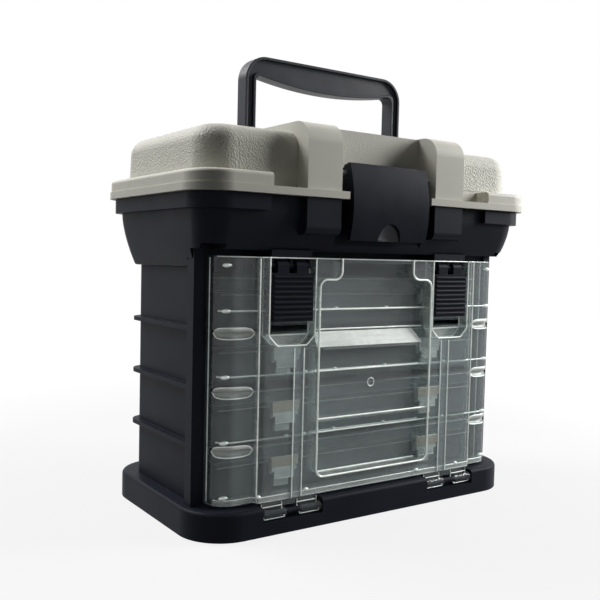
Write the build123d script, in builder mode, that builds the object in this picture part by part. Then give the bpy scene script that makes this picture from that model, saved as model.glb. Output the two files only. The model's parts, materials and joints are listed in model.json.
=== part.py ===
from build123d import *
import os

os.makedirs("parts", exist_ok=True)

# Rack tackle box, millimetres. +Z is up, the front faces -Y, and the origin is
# on the ground under the middle of the base.

# Walls and clearances
wall = 2.5
move_gap = 0.4
seat_gap = 0.3
pin_gap = 0.08

# Trays
tray_count = 4
tray_width = 214.0
tray_depth = 89.0
tray_height = 31.0
tray_wall = 1.6
tray_corner = 4.0
tray_lid_height = 8.5
tray_space = 3.6
divider_wall = 1.2
front_divider_x = 36.0
tray_latch_x = 60.0
tray_latch_width = 20.0
tray_latch_drop = 12.2
tray_latch_barrel = 2.1

# Rack
cabinet_front = -46.0
cabinet_corner = 9.0
tray_side_gap = 3.5
tray_back_gap = 5.0
post_width = 11.9
post_depth = 8.4
post_face = 6.4
post_rise = 13.8
rebate_depth = 2.0
rib_reach = 4.4
rib_thickness = 2.6
rail_thickness = 2.0
rail_reach = 12.5
return_width = 22.0
lap_width = 6.0
head_room = 4.4

# Base
base_height = 17.0
base_side_step = 4.8
base_front_step = 3.6
base_corner = 28.0
base_edge = 2.5
base_wall = 3.0
cell_pitch = 25.2
cell_rib = 2.4
runner_height = 0.7
runner_width = 8.0

# Screws
screw_radius = 1.5
screw_head_radius = 3.0
screw_head_height = 2.2
boss_radius = 4.0
boss_height = 13.0
boss_bite = 0.5
screw_front_inset = 20.0
screw_back_inset = 20.0

# Door and its hinge on the base
hinge_x = 65.0
hinge_ahead = 1.9
hinge_drop = 5.0
hinge_rod_radius = 1.8
bay_width = 42.6
bay_depth = 9.0
bay_drop = 9.0
clip_width = 15.0
clip_wall = 1.5
strap_width = 9.2
strap_rib_inner = 57.0
strap_rib_outer = 64.0
strap_rib_wall = 1.2
door_wall = 2.0
door_dish = 14.4
door_raise = 3.7
door_raise_inset = 24.7
door_corner = 12.0
door_side_gap = 2.8
door_flange = 10.4
door_lift = 1.4
door_rise = 7.2
door_rib_depth = 3.5
door_rib_wall = 1.2
door_rib_pitch = 38.5
door_rib_drop = 31.9
notch_height = 52.4
notch_chamfer = 6.0
notch_wall = 1.6
notch_depth = 8.0
slot_height = 4.0
frame_half = 47.0
frame_neck_half = 30.4
frame_corner = 6.5
frame_shoulder = 4.5
pocket_depth = 7.3
pocket_rib_depth = 2.0
ledge_drop = 9.6
ledge_reach = 4.4
ledge_half = 40.0
frame_low_inset = 9.6
frame_high_inset = 12.4
frame_bar_height = 36.0
frame_wall = 1.6
frame_proud = 0.8

# Door latches, hooked on rods under the bin
latch_x = 65.3
latch_width = 30.0
latch_gap = 1.0
finger_room = 14.0
latch_wall = 2.2
cheek_wall = 1.6
cheek_depth = 2.5
latch_rod_radius = 1.6
latch_rod_drop = 8.8
latch_rod_behind = 4.1
hook_width = 8.0
grip_count = 9
grip_proud = 1.0

# Storage bin
bin_height = 42.8
bin_taper_start = 0.3
bin_step_gap = 3.9
flare_side = 10.0
flare_front = 22.8
flare_back = 17.0
belt_height = 9.0
belt_proud = 3.8
belt_corner = 20.0
belt_end = 87.5
column_inner = 38.4
column_outer = 63.6
column_height = 22.0
bay_half = 36.0
bay_inset = 6.3
tongue_height = 2.0
tongue_wall = 1.5

# Lid
lip_proud = 3.2
lid_corner = 22.0
lip_height = 4.5
lid_belt_height = 7.7
dome_inset_side = 5.8
dome_inset_front = 8.6
dome_inset_back = 8.8
dome_corner = 20.0
dome_taper = 2.5
dome_height = 39.7
dome_round = 11.0
band_inset_front = 1.8
band_inset_back = 2.5
band_height = 45.2
band_round = 13.0
recess_depth = 8.0
lid_hinge_x = 65.0
lid_hinge_reach = 3.5
knuckle_radius = 3.2
knuckle_width = 12.0
lid_pin_radius = 1.5

# Lid latch
lid_latch_width = 62.0
lid_latch_wall = 2.6
lid_latch_cheek = 2.2
lid_latch_pin_ahead = 4.3
lid_latch_pin_height = 16.7
lid_latch_pin_radius = 1.7
lid_latch_pin_cover = 6.0
lid_latch_reach = 7.2
lid_latch_bulge = 3.2
lid_latch_sunk = 2.6
catch_drop = 14.0
catch_reach = 4.2
thumb_radius = 9.0

# Handle
handle_half = 66.0
handle_rise = 50.5
handle_pivot_drop = 2.5
handle_pivot_y = 1.5
handle_thickness = 11.0
leg_width = 8.0
grip_height = 13.0
grip_belly = 5.0
handle_corner = 16.0
handle_rim = 2.0
handle_web_cut = 2.6
handle_pin_radius = 1.75
channel_gap = 0.8

# Rack: heights and places worked out from the sizes above
tray_pitch = tray_height + tray_space
tray_floor = base_height + runner_height + seat_gap
cabinet_top = tray_floor + (tray_count - 1) * tray_pitch + tray_height + head_room
cabinet_height = cabinet_top - base_height
cabinet_back = cabinet_front + tray_depth + tray_back_gap
post_inner = tray_width / 2 + tray_side_gap
post_outer = post_inner + post_width
side_outer = post_outer - rib_reach
side_inner = side_outer - wall
post_back = cabinet_front + post_depth
rebate_outer = post_outer - post_face
return_edge = side_outer - return_width
boss_x = side_inner - boss_radius + boss_bite
screw_front_y = cabinet_front + screw_front_inset
screw_back_y = cabinet_back - screw_back_inset

# Door
door_half = rebate_outer - door_side_gap
door_raise_half = door_half - door_raise_inset
door_front = cabinet_front - door_dish
door_mid_front = door_front - door_raise
door_back = cabinet_front + rebate_depth - seat_gap
door_bottom = base_height + door_lift
door_top = cabinet_top + door_rise
door_rib_top = door_top - door_rib_drop
notch_floor = door_top - notch_height
latch_bottom = notch_floor + finger_room
frame_bottom = door_bottom + frame_low_inset
frame_top = door_top - frame_high_inset
hinge_y = door_mid_front - hinge_ahead
hinge_z = base_height - hinge_drop
bay_floor = base_height - bay_drop

# Base, worked out from the rack and the hinge it carries
base_width = 2 * (post_outer + base_side_step)
base_depth = 2 * (base_front_step - hinge_y)

# Bin
bin_rim = cabinet_top + bin_height
bin_step = door_top + bin_step_gap
riser_front = cabinet_front + rebate_depth
post_top = cabinet_top + post_rise
latch_rod_y = door_mid_front + latch_rod_behind
bin_half = side_outer + flare_side
bin_front = cabinet_front - flare_front
bin_back = cabinet_back + flare_back
belt_bottom = bin_rim - belt_height
belt_half = bin_half + belt_proud
belt_front = bin_front - belt_proud
belt_back = bin_back + belt_proud
bay_back = bin_front + bay_inset
catch_height = bin_rim - catch_drop

# Lid
lid_width = 2 * (belt_half + lip_proud)
lid_front = belt_front - lip_proud
lid_back = belt_back + lip_proud
lid_bottom = bin_rim + seat_gap
lip_top = lid_bottom + lip_height
lid_belt_top = lip_top + lid_belt_height
dome_half = belt_half - dome_inset_side
dome_front = belt_front + dome_inset_front
dome_back = belt_back - dome_inset_back
band_front = lid_front + band_inset_front
band_back = lid_back - band_inset_back
recess_front = dome_front + recess_depth
dome_top = lid_bottom + dome_height
band_top = lid_bottom + band_height
lid_hinge_y = lid_back + lid_hinge_reach
lid_hinge_z = bin_rim + seat_gap / 2
lid_latch_pin_y = bay_back - lid_latch_pin_ahead
lid_latch_pin_z = lid_bottom + lid_latch_pin_height
lid_latch_top = lid_latch_pin_z + lid_latch_pin_cover
lid_latch_bottom = bin_step + lid_latch_reach
lid_latch_front = lid_front + lid_latch_sunk

# Handle
handle_top = band_top + handle_rise
handle_pivot_z = dome_top - handle_pivot_drop


def tray_bottom(index):
    return tray_floor + index * tray_pitch


def outline(half_width, front, back, corner, mode=Mode.ADD):
    """Rounded rectangle in plan between a front and a back line."""
    with Locations((0, (front + back) / 2)):
        RectangleRounded(2 * half_width, back - front, corner, mode=mode)


def block(x0, x1, y0, y1, z0, z1, mode=Mode.ADD):
    """Box between two opposite corners."""
    with Locations(((x0 + x1) / 2, (y0 + y1) / 2, (z0 + z1) / 2)):
        Box(abs(x1 - x0), abs(y1 - y0), abs(z1 - z0), mode=mode)


def rod(x, y, z, radius, length, mode=Mode.ADD):
    """Round bar along X, centred on a point."""
    with Locations((x, y, z)):
        Cylinder(radius, length, rotation=(0, 90, 0), mode=mode)


# Base: a skirted plate with ribbed underside, two hinge bays and hinge rods
bay_half_width = bay_width / 2
bay_back_y = -base_depth / 2 + bay_depth
screw_places = [(side * boss_x, y) for side in (-1, 1) for y in (screw_front_y, screw_back_y)]
cells_x = int((base_width - 2 * base_wall) // cell_pitch) + 1
cells_y = int((base_depth - 2 * base_wall) // cell_pitch) + 1

with BuildPart() as base:
    with BuildSketch():
        RectangleRounded(base_width, base_depth, base_corner)
    extrude(amount=base_height)
    fillet(base.faces().sort_by(Axis.Z)[-1].edges(), base_edge)
    with BuildSketch():
        with GridLocations(cell_pitch, cell_pitch, cells_x, cells_y):
            Rectangle(cell_pitch - cell_rib, cell_pitch - cell_rib)
        RectangleRounded(base_width - 2 * base_wall, base_depth - 2 * base_wall,
                         base_corner - base_wall, mode=Mode.INTERSECT)
        for side in (-1, 1):
            with Locations((side * hinge_x, (bay_back_y + base_wall - base_depth / 2) / 2)):
                Rectangle(bay_width + 2 * base_wall, bay_depth + base_wall, mode=Mode.SUBTRACT)
        with Locations(*screw_places):
            Circle(boss_radius + base_wall, mode=Mode.SUBTRACT)
    extrude(amount=base_height - base_wall, mode=Mode.SUBTRACT)
    for side in (-1, 1):
        block(side * hinge_x - bay_half_width, side * hinge_x + bay_half_width,
              -base_depth / 2 - 1, bay_back_y, bay_floor, base_height + 1, Mode.SUBTRACT)
        rod(side * hinge_x, hinge_y, hinge_z, hinge_rod_radius, bay_width + 1)
        runner_x = side * (tray_width / 2 - runner_width)
        block(runner_x - runner_width / 2, runner_x + runner_width / 2,
              post_back, cabinet_back - 2 * wall, base_height - 0.1, base_height + runner_height)
    with Locations(*[(x, y, 0) for x, y in screw_places]):
        with Locations((0, 0, base_height / 2)):
            Cylinder(screw_radius + pin_gap, base_height + 2, mode=Mode.SUBTRACT)
        with Locations((0, 0, 0)):
            Cylinder(screw_head_radius + move_gap, 2 * base_wall, mode=Mode.SUBTRACT)
base.part.label = "base"
export_step(base.part, "parts/base.step")


def rib_height(index):
    """Height of the middle of an outside rib, level with the gap between two trays."""
    return tray_bottom(index + 1) - tray_space / 2 + 1.5


def make_side_panel(side):
    """Rack side: wall with a wrapped rear corner, front post, ribs, tray rails and bosses."""
    inner_corner = cabinet_corner - wall
    corner_x = side_outer - cabinet_corner
    corner_y = cabinet_back - cabinet_corner
    with BuildPart() as panel:
        with BuildSketch(Plane.XY.offset(base_height)):
            with BuildLine():
                Line((return_edge, cabinet_back), (corner_x, cabinet_back))
                CenterArc((corner_x, corner_y), cabinet_corner, 0, 90)
                Line((side_outer, corner_y), (side_outer, post_back - 1))
                Line((side_outer, post_back - 1), (side_inner, post_back - 1))
                Line((side_inner, post_back - 1), (side_inner, corner_y))
                CenterArc((corner_x, corner_y), inner_corner, 0, 90)
                Line((corner_x, cabinet_back - wall), (return_edge, cabinet_back - wall))
                Line((return_edge, cabinet_back - wall), (return_edge, cabinet_back))
            make_face()
        extrude(amount=cabinet_height)
        block(post_inner, post_outer, cabinet_front, post_back, base_height, post_top)
        block(post_inner - 1, rebate_outer, cabinet_front - 1, cabinet_front + rebate_depth,
              base_height, post_top + 1, Mode.SUBTRACT)
        for index in range(tray_count - 1):
            with BuildSketch(Plane.XY.offset(rib_height(index) - rib_thickness / 2)):
                with Locations(((return_edge + post_outer) / 2, (post_back + corner_y) / 2)):
                    Rectangle(post_outer - return_edge, corner_y - post_back)
                with Locations((corner_x, corner_y)):
                    Circle(cabinet_corner + rib_reach)
                rib_back = cabinet_back + rib_reach
                with Locations(((return_edge + corner_x) / 2, (corner_y + rib_back) / 2)):
                    Rectangle(corner_x - return_edge, rib_back - corner_y)
                with BuildLine():
                    Line((return_edge - 1, cabinet_back - 0.5), (corner_x, cabinet_back - 0.5))
                    CenterArc((corner_x, corner_y), cabinet_corner - 0.5, 0, 90)
                    Line((side_outer - 0.5, corner_y), (side_outer - 0.5, post_back - 2))
                    Line((side_outer - 0.5, post_back - 2), (return_edge - 1, post_back - 2))
                    Line((return_edge - 1, post_back - 2), (return_edge - 1, cabinet_back - 0.5))
                make_face(mode=Mode.SUBTRACT)
            extrude(amount=rib_thickness)
            rail_top = tray_bottom(index + 1) - seat_gap
            block(side_inner - rail_reach, side_inner + 0.5, post_back - 0.5,
                  cabinet_back - wall - inner_corner, rail_top - rail_thickness, rail_top)
        for x, y in screw_places[2:]:
            with Locations((x, y, base_height + boss_height / 2), (x, y, cabinet_top - boss_height / 2)):
                Cylinder(boss_radius, boss_height)
                Cylinder(screw_radius + pin_gap, boss_height, mode=Mode.SUBTRACT)
    if side > 0:
        return panel.part
    return mirror(panel.part, about=Plane.YZ)


for side, place in ((-1, "left"), (1, "right")):
    panel_name = "side_panel_" + place
    side_panel = make_side_panel(side)
    side_panel.label = panel_name
    export_step(side_panel, "parts/" + panel_name + ".step")


# Back panel: sits between the two returns and laps behind them
with BuildPart() as back_panel:
    back_inner = cabinet_back - wall
    block(-return_edge, return_edge, back_inner, cabinet_back, base_height, cabinet_top)
    block(-return_edge - lap_width, return_edge + lap_width, back_inner - 1.5, back_inner,
          base_height, cabinet_top)
    for index in range(tray_count - 1):
        block(-return_edge, return_edge, cabinet_back - 0.5, cabinet_back + rib_reach,
              rib_height(index) - rib_thickness / 2, rib_height(index) + rib_thickness / 2)
back_panel.part.label = "back_panel"
export_step(back_panel.part, "parts/back_panel.step")


# Storage bin
bin_levels = [0.0, 0.14, 0.33, 0.6, 1.0]


def bin_outline(level, inset, mode=Mode.ADD):
    """Plan outline of the bin's flared wall, from the rack's outline at level 0 to the belt's at 1."""
    share = bin_taper_start + (1 - bin_taper_start) * (1 - (1 - level) ** 1.6)
    half = side_outer + share * (bin_half - side_outer) - inset
    front = cabinet_front + share * (bin_front - cabinet_front) + inset
    back = cabinet_back + share * (bin_back - cabinet_back) - inset
    corner = cabinet_corner + share * (belt_corner - 2 - cabinet_corner) - inset
    outline(half, front, back, corner, mode)


lug_half = latch_width / 2 - latch_gap / 2
latch_rod_z = bin_step - latch_rod_drop
hook_radius = latch_rod_radius + seat_gap + 1.3

with BuildPart() as bin_hollow:
    for level in bin_levels:
        with BuildSketch(Plane.XY.offset(cabinet_top + wall + level * (belt_bottom - cabinet_top - wall))):
            bin_outline(level, wall)
    loft()
    with BuildSketch(Plane.XY.offset(belt_bottom)):
        bin_outline(1.0, wall)
    extrude(amount=belt_height + tongue_height + 1)
    shelf_z = bin_step + wall
    pocket_z = post_top + seat_gap + wall
    block(-bin_half, bin_half, bin_front, riser_front + wall, 0, shelf_z, Mode.SUBTRACT)
    for side in (-1, 1):
        block(side * (post_inner - seat_gap - wall), side * bin_half, bin_front,
              post_back + seat_gap + wall, 0, pocket_z, Mode.SUBTRACT)
    block(-bay_half - wall, bay_half + wall, bin_front - 5, bay_back + wall, 0, bin_rim + 5,
          Mode.SUBTRACT)

with BuildPart() as storage_bin:
    for level in bin_levels:
        with BuildSketch(Plane.XY.offset(cabinet_top + level * (belt_bottom - cabinet_top))):
            bin_outline(level, 0)
    loft()
    fillet(storage_bin.faces().sort_by(Axis.Z)[0].edges(), 2.0)
    with BuildSketch(Plane.XY.offset(belt_bottom)):
        outline(belt_half, belt_front, belt_back, belt_corner)
    extrude(amount=belt_height)
    block(-belt_end, belt_end, belt_front - 1, bin_front, belt_bottom - 1, bin_rim + 1, Mode.SUBTRACT)
    for side in (-1, 1):
        with BuildSketch(Plane.YZ.offset(side * (column_inner + column_outer) / 2)) as column:
            with Locations(((band_front + bin_front + 8) / 2, bin_rim - column_height / 2)):
                Rectangle(bin_front + 8 - band_front, column_height)
            fillet(column.vertices().group_by(Axis.Y)[0].sort_by(Axis.X)[0], 5)
        extrude(amount=(column_outer - column_inner) / 2, both=True)
    block(-belt_half, belt_half, belt_front, riser_front, 0, bin_step, Mode.SUBTRACT)
    for side in (-1, 1):
        block(side * (post_inner - seat_gap), side * (post_outer + seat_gap), belt_front,
              post_back + seat_gap, 0, post_top + seat_gap, Mode.SUBTRACT)
    block(-bay_half, bay_half, belt_front - 5, bay_back, bin_step + wall + 1.5, bin_rim + 1, Mode.SUBTRACT)
    add(bin_hollow.part, mode=Mode.SUBTRACT)
    # Tongue that stands inside the lid's lip
    with BuildSketch(Plane.XY.offset(bin_rim - 1)):
        bin_outline(1.0, wall - tongue_wall)
        bin_outline(1.0, wall, Mode.SUBTRACT)
        with Locations((0, bin_front)):
            Rectangle(2 * (bay_half + 2 * wall), 10 * wall, mode=Mode.SUBTRACT)
        with Locations((0, bin_back)):
            Rectangle(2 * bin_half, belt_corner * 2, mode=Mode.SUBTRACT)
    extrude(amount=1 + tongue_height)
    # Catch for the lid latch
    block(-thumb_radius * 2, thumb_radius * 2, bay_back - catch_reach, bay_back + 0.5,
          catch_height, catch_height + 2.4)
    # Lugs and rods for the door latches
    for side in (-1, 1):
        lug_x = side * latch_x
        block(lug_x - lug_half, lug_x + lug_half, latch_rod_y - 2, riser_front + 0.5,
              latch_rod_z + hook_radius + move_gap, bin_step + 0.5)
        rod(lug_x, latch_rod_y, latch_rod_z, latch_rod_radius, 2 * lug_half)
        for web_x in (-lug_half + 1, 0, lug_half - 1):
            block(lug_x + web_x - 1, lug_x + web_x + 1, latch_rod_y - 1.2, latch_rod_y + 1.2,
                  latch_rod_z, bin_step)
    # Rear knuckles for the lid
    for side in (-1, 1):
        for offset in (-knuckle_width, knuckle_width):
            knuckle_x = side * lid_hinge_x + offset
            half = knuckle_width / 2 - move_gap / 2
            rod(knuckle_x, lid_hinge_y, lid_hinge_z, knuckle_radius, 2 * half)
            block(knuckle_x - half, knuckle_x + half, belt_back - 1, lid_hinge_y,
                  lid_hinge_z - knuckle_radius, bin_rim)
        rod(side * lid_hinge_x, lid_hinge_y, lid_hinge_z, lid_pin_radius + pin_gap,
            4 * knuckle_width, Mode.SUBTRACT)
    for x, y in screw_places:
        with Locations((x, y, cabinet_top)):
            Cylinder(screw_radius + pin_gap, 4 * wall, mode=Mode.SUBTRACT)
storage_bin.part.label = "storage_bin"
export_step(storage_bin.part, "parts/storage_bin.step")


def make_screws(z_head, upwards):
    """Self-tapping screws with domed heads, one at each side panel boss."""
    direction = 1 if upwards else -1
    with BuildPart() as screws:
        for x, y in screw_places:
            with Locations((x, y, z_head + direction * screw_head_height / 2)):
                Cylinder(screw_head_radius, screw_head_height)
            length = base_height - base_wall + boss_height * 0.7 if upwards else boss_height * 0.8
            with Locations((x, y, z_head + direction * (screw_head_height + length / 2))):
                Cylinder(screw_radius, length)
            with Locations((x, y, z_head + direction * 0.4)):
                Box(3.6, 0.8, 0.9, mode=Mode.SUBTRACT)
                Box(0.8, 3.6, 0.9, mode=Mode.SUBTRACT)
    return screws.part


for name, z_head, upwards in (("base_screws", base_wall - screw_head_height, True),
                              ("bin_screws", cabinet_top + wall + screw_head_height, False)):
    screw_group = make_screws(z_head, upwards)
    screw_group.label = name
    export_step(screw_group, "parts/" + name + ".step")


# Trays: body, lid, dividers and two snap latches each
tray_back = cabinet_front + tray_depth
tray_middle = (cabinet_front + tray_back) / 2
body_shoulder = tray_height - tray_lid_height - seat_gap
rim_inset = tray_wall + seat_gap
rim_height = tray_height - tray_wall - seat_gap
divider_height = rim_height - tray_wall - 1.0
divider_length = tray_middle - cabinet_front - tray_wall / 2 - 2 * tray_wall - 2 * rim_inset + tray_wall
divider_places = ((-front_divider_x, -1), (front_divider_x, -1), (0.0, 1))
latch_axis_y = cabinet_front - 2.5
latch_axis_drop = 10.0
latch_plate_back = latch_axis_y - 0.5
latch_plate_wall = 1.4
latch_pin_radius = 1.0
ear_width = 2.0


def tray_outline(inset, mode=Mode.ADD):
    outline(tray_width / 2 - inset, cabinet_front + inset, tray_back - inset,
            max(tray_corner - inset, 0.8), mode)


def divider_middle(row):
    """Middle of a divider in the front row (-1) or the back row (1)."""
    return tray_middle + row * (tray_wall / 2 + pin_gap + divider_length / 2)


def make_tray_body(bottom):
    with BuildPart() as body:
        with BuildSketch(Plane.XY.offset(bottom)):
            tray_outline(0)
        extrude(amount=body_shoulder)
        fillet(body.faces().sort_by(Axis.Z)[0].edges(), 1.2)
        with BuildSketch(Plane.XY.offset(bottom)):
            tray_outline(rim_inset)
        extrude(amount=rim_height)
        with BuildSketch(Plane.XY.offset(bottom + tray_wall)):
            tray_outline(tray_wall)
        extrude(amount=body_shoulder - 2 * tray_wall, mode=Mode.SUBTRACT)
        with BuildSketch(Plane.XY.offset(bottom + tray_wall)):
            tray_outline(rim_inset + tray_wall)
        extrude(amount=tray_height, mode=Mode.SUBTRACT)
        # Guides that hold the lengthwise wall and the far ends of the dividers
        for side in (-1, 1):
            end_wall = side * (tray_width / 2 - tray_wall)
            x_ends = sorted((end_wall + side * 0.3, end_wall - side * 2.0))
            for offset in (-1, 1):
                guide_y = tray_middle + offset * (tray_wall / 2 + pin_gap + 0.4)
                block(x_ends[0], x_ends[1], guide_y - 0.4, guide_y + 0.4,
                      bottom + tray_wall / 2, bottom + body_shoulder - tray_wall / 2)
        for x, row in divider_places:
            far_wall = tray_middle + row * (tray_middle - cabinet_front - tray_wall)
            y_ends = sorted((far_wall + row * 0.3, far_wall - row * 2.6))
            for offset in (-1, 1):
                guide_x = x + offset * (divider_wall / 2 + pin_gap + 0.4)
                block(guide_x - 0.4, guide_x + 0.4, y_ends[0], y_ends[1],
                      bottom + tray_wall / 2, bottom + body_shoulder - tray_wall / 2)
        # Catches for the latches
        nose_top = tray_height - latch_axis_drop - tray_latch_drop + 2.0
        for side in (-1, 1):
            block(side * tray_latch_x - tray_latch_width / 2 + 2, side * tray_latch_x + tray_latch_width / 2 - 2,
                  cabinet_front - 1.3, cabinet_front + 0.5,
                  bottom + nose_top + seat_gap, bottom + nose_top + seat_gap + 1.4)
    return body.part


def make_tray_lid(bottom):
    with BuildPart() as tray_lid:
        with BuildSketch(Plane.XY.offset(bottom + tray_height - tray_lid_height)):
            tray_outline(0)
        extrude(amount=tray_lid_height)
        fillet(tray_lid.faces().sort_by(Axis.Z)[-1].edges(), 1.0)
        with BuildSketch(Plane.XY.offset(bottom)):
            tray_outline(tray_wall)
        extrude(amount=tray_height - tray_wall, mode=Mode.SUBTRACT)
        axis_z = bottom + tray_height - latch_axis_drop
        for side in (-1, 1):
            for end in (-1, 1):
                ear_x = side * tray_latch_x + end * (tray_latch_width / 2 + seat_gap + ear_width / 2)
                rod(ear_x, latch_axis_y, axis_z, 1.8, ear_width)
                block(ear_x - ear_width / 2, ear_x + ear_width / 2, latch_axis_y, cabinet_front + 0.5,
                      axis_z + latch_axis_drop - tray_lid_height, axis_z + 4.5)
                block(ear_x - ear_width / 2, ear_x + ear_width / 2, latch_axis_y, cabinet_front - seat_gap,
                      axis_z - 1.8, axis_z + 2)
            rod(side * tray_latch_x, latch_axis_y, axis_z, latch_pin_radius, tray_latch_width + 2)
    return tray_lid.part


def make_tray_latch(bottom, side):
    x = side * tray_latch_x
    axis_z = bottom + tray_height - latch_axis_drop
    low = axis_z - tray_latch_drop
    half = tray_latch_width / 2
    with BuildPart() as tray_latch:
        rod(x, latch_axis_y, axis_z, tray_latch_barrel, tray_latch_width)
        block(x - half, x + half, latch_plate_back - latch_plate_wall, latch_plate_back, low, axis_z)
        block(x - half + 2, x + half - 2, latch_plate_back - 0.1, cabinet_front - move_gap, low, low + 2.0)
        rod(x, latch_axis_y, axis_z, latch_pin_radius + pin_gap, tray_latch_width + 2, Mode.SUBTRACT)
    return tray_latch.part


def make_dividers(bottom):
    """Lengthwise wall with its guides, and the short dividers that slide into them."""
    floor = bottom + tray_wall
    with BuildPart() as long_wall:
        reach = tray_width / 2 - tray_wall - pin_gap
        block(-reach, reach, tray_middle - tray_wall / 2, tray_middle + tray_wall / 2,
              floor, bottom + body_shoulder - tray_wall)
        block(-tray_width / 2 + 2 * rim_inset, tray_width / 2 - 2 * rim_inset,
              tray_middle - tray_wall / 2, tray_middle + tray_wall / 2, floor, bottom + rim_height)
        for x, row in divider_places:
            near_wall = tray_middle + row * tray_wall / 2
            y_ends = sorted((near_wall - row * 0.3, near_wall + row * 2.6))
            for offset in (-1, 1):
                guide_x = x + offset * (divider_wall / 2 + pin_gap + 0.4)
                block(guide_x - 0.4, guide_x + 0.4, y_ends[0], y_ends[1],
                      floor, bottom + body_shoulder - tray_wall / 2)
    with BuildPart() as short_walls:
        for x, row in divider_places:
            middle = divider_middle(row)
            block(x - divider_wall / 2, x + divider_wall / 2, middle - divider_length / 2,
                  middle + divider_length / 2, floor, floor + divider_height)
    return Compound(children=[long_wall.part, *short_walls.part.solids()])


for index in range(tray_count):
    tray_name = "tray_" + str(index + 1)
    bottom = tray_bottom(index)
    tray_pieces = {
        tray_name + "_body": make_tray_body(bottom),
        tray_name + "_lid": make_tray_lid(bottom),
        tray_name + "_dividers": make_dividers(bottom),
        tray_name + "_latch_left": make_tray_latch(bottom, -1),
        tray_name + "_latch_right": make_tray_latch(bottom, 1),
    }
    for piece_name, piece in tray_pieces.items():
        piece.label = piece_name
        export_step(piece, "parts/" + piece_name + ".step")


# Door: clear dished cover with clips that turn on the base's rods
notch_half = latch_width / 2 + latch_gap
clip_reach = bay_width / 2 - 1.1


def door_section(inset):
    """Plan section of the door, wrapped to its sides and raised in the middle."""
    outline(door_half - inset, door_front + inset, door_back + 2 * door_corner, door_corner - inset)
    outline(door_raise_half - inset, door_mid_front + inset, door_back + 2 * door_corner, 5.5 - inset)


def notch_shape(x, grow, mode=Mode.ADD):
    """Opening in the door's top edge round one latch, seen from the front."""
    half = notch_half + grow
    low = notch_floor - grow
    top = door_top + 5
    cut = notch_chamfer + grow * 0.6
    Polygon((x - half, top), (x - half, low + cut), (x - half + cut, low),
            (x + half - cut, low), (x + half, low + cut), (x + half, top), align=None, mode=mode)


def frame_shape(grow):
    """Outline of the recessed middle of the door, with a neck up to the top edge."""
    side = frame_half + grow
    neck = frame_neck_half + grow
    shoulder = frame_top + grow
    low = frame_bottom - grow
    high = door_top - 1 + grow
    with BuildSketch(Plane.XZ) as shape:
        Polygon((-side, low), (side, low), (side, shoulder), (neck, shoulder), (neck, high), (-neck, high),
                (-neck, shoulder), (-side, shoulder), align=None)
        outer = [v for v in shape.vertices() if abs(abs(v.X) - side) < 0.01]
        fillet(outer, frame_corner + grow)
        inner = [v for v in shape.vertices() if abs(abs(v.X) - neck) < 0.01 and v.Y < high - 1]
        fillet(inner, frame_shoulder - grow)
    return shape.sketch


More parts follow.
